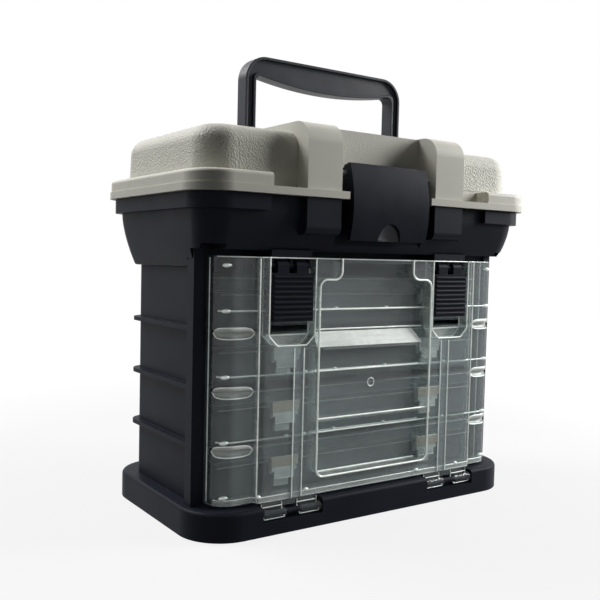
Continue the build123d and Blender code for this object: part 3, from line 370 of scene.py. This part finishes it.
def softened(node, width, slot, materials, segments=2, edge_slot=-1, finish_of=None):
    """A copy of a CAD node whose sharp edges are rounded as a mould rounds them."""
    mesh = frame["nodes"][node].data.copy()
    form = bmesh.new()
    form.from_mesh(mesh)
    bmesh.ops.remove_doubles(form, verts=form.verts, dist=MERGE)
    bmesh.ops.dissolve_limit(form, angle_limit=FLAT_WITHIN, verts=form.verts, edges=form.edges)
    form.to_mesh(mesh)
    form.free()
    mesh.materials.clear()
    for material in materials:
        mesh.materials.append(material)
    for face in mesh.polygons:
        face.use_smooth = True
        face.material_index = finish_of(face) if finish_of else 0
    piece = bpy.data.objects.new(node + "_moulded", mesh)
    bpy.context.scene.collection.objects.link(piece)
    bevel = piece.modifiers.new("rounded edges", "BEVEL")
    bevel.width = width * MM
    bevel.segments = segments
    bevel.limit_method = "ANGLE"
    bevel.angle_limit = SHARP_FROM
    # Bevel faces take the edge finish where one is given: painted light along the rounded edges of
    # clear pieces
    bevel.material = edge_slot
    bevel.use_clamp_overlap = True
    weighted = piece.modifiers.new("flat faces stay flat", "WEIGHTED_NORMAL")
    weighted.mode = "FACE_AREA"
    weighted.weight = 50
    piece = settle(piece)
    return finished(piece, body_of(node), slot, node)


CLIP_TOP = 17.0
FLANK_HALF = 100
# The flank and edge finishes paint light: grazing shine on the flanks, piped light on the rounded
# edges
DOOR_FINISHES = [clear_door, clear_flank_painted_light, clear_line_painted_highlight, clear_clip]
DOOR_WALL, DOOR_FLANK, DOOR_EDGE, DOOR_CLIP = range(4)


def door_finish(face):
    """The door's hinge clips, the flanks between its steps, and its plain walls; the flanks take a
    paler, hazier finish, painted light for their grazing shine.
    """
    if face.center.z < CLIP_TOP * MM:
        return DOOR_CLIP
    if abs(face.normal.y) < 0.6 and abs(face.center.x) < FLANK_HALF * MM:
        return DOOR_FLANK
    return DOOR_WALL


# Rounding in millimetres and finish of each black piece
BLACK_PIECES = (
    ("base", 0.45, black),
    ("side_panel_left", 0.45, black),
    ("side_panel_right", 0.45, black),
    ("storage_bin", 0.45, black),
    ("back_panel", 0.45, rack_black),
    ("handle", 0.5, handle_black),
    ("lid_latch", 0.40, latch_black),
    ("door_latch_left", 0.40, latch_black),
    ("door_latch_right", 0.40, latch_black),
)
TRAY_ROUNDING = 0.22
TRAY_EDGE = 1
METAL_NODES = ("base_screws", "bin_screws", "lid_hinge_pin_left", "lid_hinge_pin_right",
               "lid_latch_pin", "handle_pin_left", "handle_pin_right")

for node, width, material in BLACK_PIECES:
    softened(node, width, "black_plastic", [material])
softened("lid", 0.95, "grey_plastic", [grey], segments=3)
softened("door", 0.30, "clear_plastic", DOOR_FINISHES, edge_slot=DOOR_EDGE, finish_of=door_finish)
for tray in (1, 2, 3, 4):
    for part in ("body", "lid"):
        softened("tray_%d_%s" % (tray, part), TRAY_ROUNDING, "clear_plastic",
                 [clear_tray, clear_tray_edge_painted_light], edge_slot=TRAY_EDGE)
    put("tray_%d_dividers" % tray, clear_tray)
for node in METAL_NODES:
    put(node, pin_steel)


# Small moulded forms

def shape(name, points, faces, material, edges=()):
    """A mesh piece from points in the drawing's millimetres."""
    mesh = bpy.data.meshes.new(name)
    mesh.from_pydata([Vector(point) * MM for point in points], edges, faces)
    if material is not None:
        mesh.materials.append(material)
    piece = bpy.data.objects.new(name, mesh)
    bpy.context.scene.collection.objects.link(piece)
    return piece


BOX_FACES = ((0, 2, 3, 1), (4, 5, 7, 6), (0, 1, 5, 4), (2, 6, 7, 3), (0, 4, 6, 2), (1, 3, 7, 5))


def slabs(name, boxes, material, rounding):
    """Plates and blocks with rounded edges, each from its lowest and highest corner."""
    points, faces = [], []
    for low, high in boxes:
        start = len(points)
        xs, ys, zs = zip(low, high)
        points += [(x, y, z) for z in zs for y in ys for x in xs]
        faces += [[start + corner for corner in face] for face in BOX_FACES]
    piece = shape(name, points, faces, material)
    bevel = piece.modifiers.new("rounded edges", "BEVEL")
    bevel.width = rounding * MM
    bevel.segments = 2
    return settle(piece)


def sheet(name, columns, rows, place, material, wall):
    """A curved wall: place(u, v) gives its points for u and v from 0 to 1."""
    points = [place(u / columns, v / rows) for u in range(columns + 1) for v in range(rows + 1)]
    faces = []
    for u in range(columns):
        for v in range(rows):
            corner = u * (rows + 1) + v
            faces.append((corner, corner + 1, corner + rows + 2, corner + rows + 1))
    piece = shape(name, points, faces, material)
    for face in piece.data.polygons:
        face.use_smooth = True
    thick = piece.modifiers.new("wall", "SOLIDIFY")
    thick.thickness = wall * MM
    thick.offset = 0
    return settle(piece)


def new_tree(name, *sizes):
    """An empty Geometry Nodes tree with a geometry, its sizes and a finish as inputs."""
    tree = bpy.data.node_groups.new(name, "GeometryNodeTree")
    tree.interface.new_socket("Geometry", in_out="INPUT", socket_type="NodeSocketGeometry")
    for size in sizes:
        tree.interface.new_socket(size, in_out="INPUT", socket_type="NodeSocketFloat")
    tree.interface.new_socket("Finish", in_out="INPUT", socket_type="NodeSocketMaterial")
    tree.interface.new_socket("Geometry", in_out="OUTPUT", socket_type="NodeSocketGeometry")
    return tree, tree.nodes.new("NodeGroupInput").outputs


def close_tree(tree, given, geometry):
    """Ends a tree: real geometry, smooth, with its finish."""
    real = tree.nodes.new("GeometryNodeRealizeInstances")
    smooth = tree.nodes.new("GeometryNodeSetShadeSmooth")
    finish = tree.nodes.new("GeometryNodeSetMaterial")
    out = tree.nodes.new("NodeGroupOutput")
    tree.links.new(geometry, real.inputs["Geometry"])
    tree.links.new(real.outputs["Geometry"], smooth.inputs["Geometry"])
    tree.links.new(smooth.outputs["Geometry"], finish.inputs["Geometry"])
    tree.links.new(given["Finish"], finish.inputs["Material"])
    tree.links.new(finish.outputs["Geometry"], out.inputs["Geometry"])
    return tree


def bead_tree():
    """Drawn edges become a round bead, with their corners rounded."""
    tree, given = new_tree("moulded bead", "Bead radius", "Corner radius")
    path = tree.nodes.new("GeometryNodeMeshToCurve")
    corner = tree.nodes.new("GeometryNodeFilletCurve")
    ring = tree.nodes.new("GeometryNodeCurvePrimitiveCircle")
    swept = tree.nodes.new("GeometryNodeCurveToMesh")
    corner.mode = "POLY"
    corner.inputs["Count"].default_value = 6
    corner.inputs["Limit Radius"].default_value = True
    ring.inputs["Resolution"].default_value = 8
    swept.inputs["Fill Caps"].default_value = True
    tree.links.new(given["Geometry"], path.inputs["Mesh"])
    tree.links.new(path.outputs["Curve"], corner.inputs["Curve"])
    tree.links.new(given["Corner radius"], corner.inputs["Radius"])
    tree.links.new(given["Bead radius"], ring.inputs["Radius"])
    tree.links.new(corner.outputs["Curve"], swept.inputs["Curve"])
    tree.links.new(ring.outputs["Curve"], swept.inputs["Profile Curve"])
    return close_tree(tree, given, swept.outputs["Mesh"])


def bump_tree():
    """Each point becomes a round bump, stretched sideways by its length."""
    tree, given = new_tree("moulded bump", "Bump radius", "Stretch")
    ball = tree.nodes.new("GeometryNodeMeshUVSphere")
    ball.inputs["Segments"].default_value = 14
    ball.inputs["Rings"].default_value = 8
    spread = tree.nodes.new("GeometryNodeInstanceOnPoints")
    sizes = tree.nodes.new("ShaderNodeCombineXYZ")
    sizes.inputs["Y"].default_value = sizes.inputs["Z"].default_value = 1.0
    tree.links.new(given["Bump radius"], ball.inputs["Radius"])
    tree.links.new(given["Stretch"], sizes.inputs["X"])
    tree.links.new(given["Geometry"], spread.inputs["Points"])
    tree.links.new(ball.outputs["Mesh"], spread.inputs["Instance"])
    tree.links.new(sizes.outputs["Vector"], spread.inputs["Scale"])
    return close_tree(tree, given, spread.outputs["Instances"])


def grown(piece, tree, **values):
    """Runs a tree on a drawn piece and keeps its result as a plain mesh."""
    step = piece.modifiers.new(tree.name, "NODES")
    step.node_group = tree
    for item in tree.interface.items_tree:
        key = item.name.replace(" ", "_")
        if item.in_out == "INPUT" and key in values:
            step[item.identifier] = values[key]
    return settle(piece)


BEADS = bead_tree()
BUMPS = bump_tree()


def beads(name, body, paths, radius, corner, material):
    """Beads along drawn paths; a path that ends where it began is closed."""
    points, edges = [], []
    for path in paths:
        closed = path[0] == path[-1]
        start = len(points)
        points += path[:-1] if closed else path
        count = len(points) - start
        edges += [(start + i, start + i + 1) for i in range(count - 1)]
        if closed:
            edges.append((start + count - 1, start))
    piece = grown(shape(name, points, [], None, edges), BEADS,
                  Bead_radius=radius * MM, Corner_radius=corner * MM, Finish=material)
    return finished(piece, body, "clear_plastic")


def bumps(name, body, places, radius, stretch, material):
    piece = grown(shape(name, places, [], None), BUMPS,
                  Bump_radius=radius * MM, Stretch=stretch, Finish=material)
    return finished(piece, body, "clear_plastic")


# The door's lines, in the drawing's millimetres

SIDES = (-1, 1)
WORDS = {-1: "left", 1: "right"}
DOOR_LOW, DOOR_TOP = 18.4, 164.4
DOOR_HALF = 113.2
DOOR_CORNER = 12.0
DOOR_FACE = -60.4
DOOR_END = -46.2
MIDDLE_HALF = 88.5
MIDDLE_FACE = -64.1
RIM_FACE = -64.9
RECESS_FACE = -56.8
RECESS_BACK = -55.2
RECESS_HALF = 46.2
RECESS_NECK = 29.6
RECESS_LOW = 28.8
RECESS_TOP = 151.2
RIB_TIP = -58.8
RIB_HEIGHTS = (132.5, 94.0, 55.5)
NOTCH_X = 65.3
NOTCH_HALF = 16.0
NOTCH_LOW = 112.0
NOTCH_CUT = 6.0
NOTCH_BACK = -56.3
NOTCH_GROWN = 0.5
SILL_HALF, SILL_HEIGHT = 14.5, 5.4
STRAP_X, STRAP_HALF = 60.5, 3.1
STRAP_RIBS = (57.0, 64.0)
GATE_X, GATE_Z, GATE_RADIUS = 2.0, 84.0, 2.7
GATE_STEPS = 16
HINGE_X = 65.0
HINGE_Y = -66.1
HINGE_Z = 13.0
CLIP_REACH = 20.2
CLIP_WIDTH = 15.0
CLIP_ROUND = 3.6
CLIP_INSET = 0.3

# Distances along the door's end from the step in its face: WRAP is where its corner begins
WRAP = DOOR_HALF - DOOR_CORNER - MIDDLE_HALF
STEP_IN = 1.5
END_STEPS = (26.0, 22.0, 18.0, 15.0, WRAP, STEP_IN)

SLOT_HEIGHTS = (119.5, 84.9, 50.3)
SLOT_FIRST, SLOT_SPAN = 1.0, 27.0
SLOT_RISE = 3.3
SLOT_INSET = 0.3
SLOT_LINE_INSET = 0.2
SLOT_STEPS = 14
FLUTE_DEPTH = 2.2
BROW_OUT, BROW_RISE, BROW_FALL = 0.4, 3.5, 2.6

# The finger ledge's face, painted bright as a highlight: depth and height of its upper and lower
# edge, and its ends
LEDGE_UPPER = (RECESS_FACE - 0.45, 118.6)
LEDGE_LOWER = (RECESS_FACE - 4.75, 109.3)
LEDGE_LEFT, LEDGE_RIGHT_UPPER, LEDGE_RIGHT_LOWER = -45.2, 36.0, 42.0
LEDGE_FACES = [(0, 3, 2, 1), (4, 5, 6, 7), (0, 1, 5, 4), (1, 2, 6, 5), (2, 3, 7, 6), (3, 0, 4, 7)]

# Moulded bumps: across positions on the ribs, in the recess and on the lip
RIB_BUMPS = (-65, -52, 52, 65)
RECESS_BUMPS = (-26.5, 15)
LIP_BUMPS = (-87, -52.7, 38, 75)
LUG_X, LUG_Y = 107.0, -57.4
LUG_HEIGHTS = (159.0,) + RIB_HEIGHTS + (23.0,)


def end_place(side, along, inset):
    """A place on the door's end, measured from the step in its face and round the corner."""
    if along <= WRAP:
        return side * (MIDDLE_HALF + along), DOOR_FACE + inset
    turn = min((along - WRAP) / DOOR_CORNER, math.pi / 2)
    radius = DOOR_CORNER - inset
    return (side * (DOOR_HALF - DOOR_CORNER + radius * math.sin(turn)),
            DOOR_FACE + DOOR_CORNER - radius * math.cos(turn))


def across(z, middle, ends):
    """A level line over the whole door: its middle's depth, and how far inside the end faces."""
    left = [end_place(-1, along, ends) + (z,) for along in END_STEPS]
    right = [(-x, y, z) for x, y, z in reversed(left)]
    half = MIDDLE_HALF - STEP_IN
    return left + [(-half, middle, z), (half, middle, z)] + right


def level(half, y, z):
    """A level line from left to right."""
    return [(-half, y, z), (half, y, z)]


def upright(x, y, low, high):
    return [(x, y, low), (x, y, high)]


def recess_rim():
    half = [(RECESS_NECK, RIM_FACE, DOOR_TOP), (RECESS_NECK, RIM_FACE, RECESS_TOP),
            (RECESS_HALF, RIM_FACE, RECESS_TOP), (RECESS_HALF, RIM_FACE, RECESS_LOW)]
    return [(-x, y, z) for x, y, z in half] + list(reversed(half))


def notch_line(side, depth):
    """The outline of a latch notch, open at the door's top."""
    x, half, low = side * NOTCH_X, NOTCH_HALF + NOTCH_GROWN, NOTCH_LOW - NOTCH_GROWN
    return [(x - half, depth, DOOR_TOP), (x - half, depth, low + NOTCH_CUT),
            (x - half + NOTCH_CUT, depth, low), (x + half - NOTCH_CUT, depth, low),
            (x + half, depth, low + NOTCH_CUT), (x + half, depth, DOOR_TOP)]


def clip_lines(side, x):
    """The outline of a hinge clip under the door, and a level bar across its front that is a
    painted highlight.
    """
    near, far = side * (x + CLIP_INSET), side * (x + CLIP_WIDTH - CLIP_INSET)
    edge = [(MIDDLE_FACE - 0.1, DOOR_LOW - 0.8), (MIDDLE_FACE - 0.1, HINGE_Z + 1.0),
            (HINGE_Y - 1.5, HINGE_Z - CLIP_ROUND)]
    outline = [(near, y, z) for y, z in edge] + [(far, y, z) for y, z in reversed(edge)]
    return [outline, [(x, MIDDLE_FACE - 0.2, HINGE_Z + 2.6) for x in (near, far)]]


def lens(share):
    """A slot's height at a share of its length, as a share of its greatest height."""
    return math.sqrt(max(0.0, 1.0 - (2 * share - 1) ** 4))


def slot_line(side, z, rise):
    """Half of a slot's lens-shaped rim, upper or lower by the sign of its rise."""
    line = []
    for step in range(SLOT_STEPS + 1):
        share = step / SLOT_STEPS
        x, y = end_place(side, SLOT_FIRST + SLOT_SPAN * share, SLOT_LINE_INSET)
        line.append((x, y, z + rise * lens(share)))
    return line


def slot_flute(side, z):
    """The hollow that closes a slot at its back."""
    def place(u, v):
        turn = (v - 0.5) * math.pi
        depth = SLOT_INSET + FLUTE_DEPTH * lens(u) * math.cos(turn)
        x, y = end_place(side, SLOT_FIRST + SLOT_SPAN * u, depth)
        return x, y, z + SLOT_RISE * lens(u) * math.sin(turn)
    return place


def slot_brow(side, z):
    """The thick rounded lip over a slot."""
    def place(u, v):
        depth = SLOT_INSET - BROW_OUT * math.sin(math.pi * v)
        x, y = end_place(side, SLOT_FIRST + SLOT_SPAN * u, depth)
        return x, y, z + BROW_RISE * lens(u) - BROW_FALL * lens(u) * v
    return place


def door_piece(piece):
    return finished(piece, "door", "clear_plastic")


def door_beads(name, paths, radius, corner=0.0):
    # Door beads take the edge finish: painted highlights
    return beads("door_" + name, "door", paths, radius, corner, clear_line_painted_highlight)


def door_lip(low, high, out, wall):
    """The level strip along the door's lower edge."""
    lines = [across(z, MIDDLE_FACE - out, -out) for z in (low, high)]
    count = len(lines[0])
    faces = [(i, i + 1, count + i + 1, count + i) for i in range(count - 1)]
    piece = shape("door_lip", lines[0] + lines[1], faces, clear_flank_painted_light)
    thick = piece.modifiers.new("wall", "SOLIDIFY")
    thick.thickness = wall * MM
    return door_piece(settle(piece))


def dress_outline():
    """The lip and the bright lines along the door's rims, notches, ribs and ends; their brightness
    is painted light.
    """
    door_lip(DOOR_LOW + 0.2, DOOR_LOW + 3.6, 0.25, 0.4)
    door_beads("recess_rim", [recess_rim()], 0.72, 5.4)
    notches = [notch_line(side, depth)
               for depth in (MIDDLE_FACE + 0.2, NOTCH_BACK) for side in SIDES]
    door_beads("notch_edges", notches, 0.50, 2.0)
    ribs = [across(z, RIB_TIP, 2.0) for z in RIB_HEIGHTS]
    ribs += [level(RECESS_HALF - 1, RECESS_BACK + 0.2, z) for z in RIB_HEIGHTS]
    door_beads("rib_tips", ribs, 0.60, 0.8)
    corners = ((MIDDLE_HALF - 0.6, MIDDLE_FACE + 1.0), (DOOR_HALF - 0.9, DOOR_END))
    uprights = [upright(side * x, y, DOOR_LOW + 1, DOOR_TOP - 1)
                for x, y in corners for side in SIDES]
    door_beads("uprights", uprights, 0.45, 0.5)
    lip_lines = [across(DOOR_LOW + 0.5, MIDDLE_FACE + 0.4, 0.5),
                 across(DOOR_LOW + 3.4, MIDDLE_FACE + 0.2, 0.2),
                 across(DOOR_TOP - 0.4, MIDDLE_FACE + 0.4, 0.5)]
    door_beads("lip_lines", lip_lines, 0.38, 0.8)


def dress_straps():
    """The flat straps under the notches, the hinge clips, and the lines in the recess; the strap
    edges, the clips' outlines and bars and the recess lines are beads that paint highlights.
    """
    edges = [upright(side * x, RIM_FACE + 0.2, DOOR_LOW + 1, NOTCH_LOW - 2)
             for side in SIDES for x in STRAP_RIBS]
    door_beads("strap_edges", edges, 0.42, 0.5)
    strips = [((side * STRAP_X - STRAP_HALF, RIM_FACE + 0.1, DOOR_LOW + 0.5),
               (side * STRAP_X + STRAP_HALF, RIM_FACE + 0.6, NOTCH_LOW - 1.8)) for side in SIDES]
    door_piece(slabs("door_straps", strips, clear_door, 0.1))
    clips = []
    for side in SIDES:
        for x in (HINGE_X - CLIP_REACH, HINGE_X + CLIP_REACH - CLIP_WIDTH):
            clips += clip_lines(side, x)
    door_beads("clip_edges", clips, 0.30, 0.6)
    lines = [level(45, RECESS_FACE - 0.4, 119.9), level(45, MIDDLE_FACE + 0.3, 64.9),
             level(41, RECESS_FACE - 0.2, 29.9)]
    door_beads("ledge_lines", lines, 0.62, 0.5)


def dress_slots():
    """Lens-shaped slots round the door's corners: rims, a hollow behind and a brow above, all in
    pale finishes that paint the slot's highlights.
    """
    for name, rise, radius in (("upper", SLOT_RISE, 0.42), ("lower", -SLOT_RISE, 0.40)):
        rims = [slot_line(side, z, rise) for side in SIDES for z in SLOT_HEIGHTS]
        door_beads("slot_%s_rims" % name, rims, radius)
    for number, z in enumerate(SLOT_HEIGHTS, 1):
        for side in SIDES:
            name = "door_slot_%d_%s" % (number, WORDS[side])
            door_piece(sheet(name, 22, 8, slot_flute(side, z), clear_tray_edge_painted_light, 0.6))
            # The brow's pale finish is a painted highlight, the white crescent over the slot
            door_piece(sheet(name + "_brow", 22, 3, slot_brow(side, z), clear_ledge_painted_highlight, 0.5))


def dress_bumps():
    """Ejector bumps, end lugs and the round gate mark, in the edge finish that paints their
    highlights.
    """
    places = [(x, RIB_TIP, z + 0.3) for x in RIB_BUMPS for z in RIB_HEIGHTS]
    places += [(x, RECESS_BACK + 0.2, z + 0.3) for x in RECESS_BUMPS for z in RIB_HEIGHTS]
    places += [(x, MIDDLE_FACE + 0.4, DOOR_LOW + 4) for x in LIP_BUMPS]
    bumps("door_rib_bumps", "door", places, 1.2, 1.5, clear_line_painted_highlight)
    lugs = [(side * LUG_X, LUG_Y, z) for side in SIDES for z in LUG_HEIGHTS]
    bumps("door_end_lugs", "door", lugs, 1.35, 2.4, clear_line_painted_highlight)
    turns = [2 * math.pi * step / GATE_STEPS for step in range(GATE_STEPS)]
    ring = [(GATE_X + GATE_RADIUS * math.cos(turn), RECESS_FACE - 0.1,
             GATE_Z + GATE_RADIUS * math.sin(turn)) for turn in turns]
    door_beads("gate_mark", [ring + ring[:1]], 0.38)


def dress_ledge():
    """The upper face of the finger ledge, a pale plate that paints its highlight, with its slanted
    right end.
    """
    face = [(LEDGE_LEFT,) + LEDGE_UPPER, (LEDGE_RIGHT_UPPER,) + LEDGE_UPPER,
            (LEDGE_RIGHT_LOWER,) + LEDGE_LOWER, (LEDGE_LEFT,) + LEDGE_LOWER]
    back = [(x, y + 0.5, z - 0.3) for x, y, z in face]
    door_piece(shape("door_ledge_face", face + back, LEDGE_FACES, clear_ledge_painted_highlight))


def dress_sills():
    """Low sills behind the latch notches, in the flank finish, with a painted highlight along the
    upper edge.
    """
    sills = [((side * NOTCH_X - SILL_HALF, NOTCH_BACK - 0.4, NOTCH_LOW),
              (side * NOTCH_X + SILL_HALF, NOTCH_BACK + 0.7, NOTCH_LOW + SILL_HEIGHT))
             for side in SIDES]
    door_piece(slabs("door_notch_sills", sills, clear_flank_painted_light, 0.3))
    edges = [[(x, NOTCH_BACK - 0.4, high[2]) for x in (low[0], high[0])] for low, high in sills]
    door_beads("sill_lines", edges, 0.5)


dress_outline()
dress_straps()
dress_slots()
dress_bumps()
dress_ledge()
dress_sills()


# Trays: lid lines painted as highlights, and the visible form of their latches

TRAY_BOTTOMS = (18.0, 52.6, 87.2, 121.8)
TRAY_HALF, TRAY_FACE = 105.0, -46.0
LID_LINES = (19.5, 29.4)
CREAM_TRAYS = (1, 2)
LATCH_X = 60.0

# Parts of a latch: left and right from its own middle, front and back from the middle of the
# whole box, lowest and highest from its tray's bottom
LATCH_CAP = ((-10, 10, -50.9, -48.6, 16.8, 22.9),)
LATCH_TAB = ((-9.4, 9.4, -50.3, -48.9, 13.6, 17.2),
             (-7.4, 7.4, -50.2, -48.9, 8.9, 13.8))
LATCH_LINES = ((-9.7, 9.7, -50.8, -50.8, 22.7, 22.7),
               (-9.2, -9.2, -50.4, -50.4, 13.7, 17.0),
               (-7.2, -7.2, -50.3, -50.3, 9.0, 13.6),
               (-7.2, 7.2, -50.3, -50.3, 9.1, 9.1))
CATCH = ((-6.4, 4.4, -48.2, -45.8, 3.9, 8.6),
         (-9.0, -7.0, -47.4, -45.9, 12.0, 20.0),
         (7.0, 9.0, -47.4, -45.9, 12.0, 20.0))


def placed(rows, middle, bottom):
    """The corners of a latch's parts, lowest and highest, on its tray."""
    return [((middle + left, front, bottom + low), (middle + right, back, bottom + high))
            for left, right, front, back, low, high in rows]


def dress_tray(number, bottom):
    """The lines of a tray's lid, its two latches, and the catches that they hook on; the lid lines
    and latch edges are beads that paint highlights, and the tabs' pale haze is painted light.
    """
    tray = "tray_%d" % number
    lines = [level(TRAY_HALF, TRAY_FACE, bottom + z) for z in LID_LINES]
    beads(tray + "_lid_lines", tray, lines, 0.36, 0.0, clear_tray_edge_painted_light)
    tone = cream if number in CREAM_TRAYS else clear_tab_painted_light
    for side in SIDES:
        middle = side * LATCH_X
        latch = "%s_latch_%s" % (tray, WORDS[side])
        cap = slabs(latch + "_cap", placed(LATCH_CAP, middle, bottom), tone, 0.5)
        finished(cap, latch, "cream_plastic", latch)
        lines = placed(LATCH_LINES, middle, bottom)
        beads(latch + "_edges", latch, lines, 0.32, 0.3, clear_line_painted_highlight)
        tab = slabs(latch + "_tab", placed(LATCH_TAB, middle, bottom), clear_tab_painted_light, 0.3)
        finished(tab, latch, "clear_plastic")
        catch = slabs(latch + "_catch", placed(CATCH, middle, bottom), clear_tab_painted_light, 0.3)
        finished(catch, tray, "clear_plastic")


for number, bottom in enumerate(TRAY_BOTTOMS, 1):
    dress_tray(number, bottom)


# The hollow behind the lid latch's thumb scoop

SCOOP_HALF, SCOOP_HEIGHT, SCOOP_DEPTH = 9.5, 11.0, 2.4
LATCH_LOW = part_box("lid_latch")[0]
SCOOP_EDGE = LATCH_LOW[1] / MM + 5.0 - 1.2
SCOOP_FOOT = LATCH_LOW[2] / MM


def scoop_place(u, v):
    """A shallow half dish: u goes round it, v from its middle to its edge."""
    turn = math.pi * u
    return (SCOOP_HALF * 1.15 * v * math.cos(turn), SCOOP_EDGE + SCOOP_DEPTH * (1 - v ** 2),
            SCOOP_FOOT + SCOOP_HEIGHT * 1.1 * v * math.sin(turn))


scoop = sheet("lid_latch_scoop", 16, 6, scoop_place, handle_black, 0.8)
finished(scoop, "lid_latch", "black_plastic")


# Floor, light and camera

FLOOR_HALF = 4.0
FLOOR_GREY = (0.10, 0.10, 0.10, 1)
# The floor's shown white rises from the object outwards: distances and strengths
FLOOR_NEAR, FLOOR_FAR = (0.3, 0.82), (0.9, 1.0)
SKY_DIM, SKY_TINT = 0.035, (0.96, 0.98, 1.0, 1)


def floor():
    """Pale for the eye, and dark for the light that it gives back."""
    mesh = bpy.data.meshes.new("floor")
    corners = [(x * FLOOR_HALF, y * FLOOR_HALF, -0.2 * MM)
               for x, y in ((-1, -1), (1, -1), (1, 1), (-1, 1))]
    mesh.from_pydata(corners, [], [(0, 1, 2, 3)])
    ground = bpy.data.objects.new("floor", mesh)
    bpy.context.scene.collection.objects.link(ground)
    f = Finish("pale floor")
    path = f.node("ShaderNodeLightPath").outputs
    seen = f.calc("MAXIMUM", path["Is Camera Ray"], path["Is Glossy Ray"])
    seen = f.calc("MAXIMUM", seen, path["Is Transmission Ray"])
    axes = f.axes()
    squares = [f.calc("MULTIPLY", axes[name], axes[name]) for name in ("X", "Y")]
    away = f.calc("SQRT", f.calc("ADD", *squares))
    strength = f.span(away, FLOOR_NEAR[0], FLOOR_FAR[0], FLOOR_NEAR[1], FLOOR_FAR[1])
    white = f.node("ShaderNodeEmission")
    f.link(f.calc("MULTIPLY", seen, strength), white.inputs["Strength"])
    both = f.node("ShaderNodeAddShader")
    f.link(white.outputs["Emission"], both.inputs[0])
    f.link(f.shell(FLOOR_GREY, 0.9, Specular_IOR_Level=0.0), both.inputs[1])
    ground.data.materials.append(f.done(both.outputs["Shader"]))


def world():
    """White for the eye and for what shines, and a plain dim sky for the rest."""
    sky = bpy.data.worlds.new("studio")
    bpy.context.scene.world = sky
    sky.use_nodes = True
    tree = sky.node_tree
    tree.nodes.clear()
    out = tree.nodes.new("ShaderNodeOutputWorld")
    path = tree.nodes.new("ShaderNodeLightPath")
    glossy, seen = (tree.nodes.new("ShaderNodeMath") for _ in range(2))
    glossy.operation = seen.operation = "MAXIMUM"
    tree.links.new(path.outputs["Is Camera Ray"], glossy.inputs[0])
    tree.links.new(path.outputs["Is Glossy Ray"], glossy.inputs[1])
    tree.links.new(glossy.outputs[0], seen.inputs[0])
    tree.links.new(path.outputs["Is Transmission Ray"], seen.inputs[1])
    white = tree.nodes.new("ShaderNodeBackground")
    white.inputs["Color"].default_value = WHITE
    white.inputs["Strength"].default_value = 1.0
    dim = tree.nodes.new("ShaderNodeBackground")
    dim.inputs["Color"].default_value = SKY_TINT
    dim.inputs["Strength"].default_value = SKY_DIM
    mix = tree.nodes.new("ShaderNodeMixShader")
    tree.links.new(seen.outputs[0], mix.inputs["Fac"])
    tree.links.new(dim.outputs[0], mix.inputs[1])
    tree.links.new(white.outputs[0], mix.inputs[2])
    tree.links.new(mix.outputs[0], out.inputs["Surface"])
    sky.cycles.sampling_method = "NONE"


def softbox(name, place, aim, size, power):
    lamp = bpy.data.lights.new(name, "AREA")
    lamp.shape = "RECTANGLE"
    lamp.size, lamp.size_y = size
    lamp.energy = power
    thing = bpy.data.objects.new(name, lamp)
    thing.location = place
    thing.rotation_euler = (Vector(aim) - Vector(place)).to_track_quat("-Z", "Y").to_euler()
    thing.visible_camera = False
    bpy.context.scene.collection.objects.link(thing)


# The photograph's eye, fitted: place in millimetres, then turn, tilt and roll in degrees, then
# the lens's focal length and the picture's width in pixels
EYE_PLACE = (-329.1, -457.8, 164.8)
EYE_ANGLES = (34.3, 3.11, 1.34)
EYE_PIXELS, PICTURE_PIXELS = 794.1, 600
SENSOR = 36


def camera():
    """The camera at the photograph's eye."""
    turn, tilt, roll = (math.radians(angle) for angle in EYE_ANGLES)
    ahead = Vector((math.sin(turn) * math.cos(tilt), math.cos(turn) * math.cos(tilt),
                    -math.sin(tilt)))
    level_right = Vector((math.cos(turn), -math.sin(turn), 0))
    right = level_right * math.cos(roll) + level_right.cross(ahead) * math.sin(roll)
    axes = Matrix((right, right.cross(ahead), -ahead)).transposed().to_4x4()
    eye = bpy.data.cameras.new("eye")
    eye.sensor_width = SENSOR
    eye.lens = EYE_PIXELS / PICTURE_PIXELS * SENSOR
    eye.clip_start = 0.01
    thing = bpy.data.objects.new("eye", eye)
    thing.matrix_world = Matrix.Translation(Vector(EYE_PLACE) * MM) @ axes
    bpy.context.scene.collection.objects.link(thing)
    bpy.context.scene.camera = thing


# Softboxes: place, what they look at, size and power
LAMPS = (
    ("left softbox", (-0.52, 0.58, 0.92), (0, 0, 0.20), (0.6, 0.6), 11.5),
    ("right softbox", (0.78, -0.33, 0.52), (0, -0.05, 0.2), (0.4, 0.5), 10.5),
    ("top softbox", (0.0, 0.35, 1.4), (0, 0, 0.2), (1.0, 0.8), 3.5),
)

floor()
world()
for lamp in LAMPS:
    softbox(*lamp)
camera()
bpy.context.scene.view_settings.view_transform = "Standard"
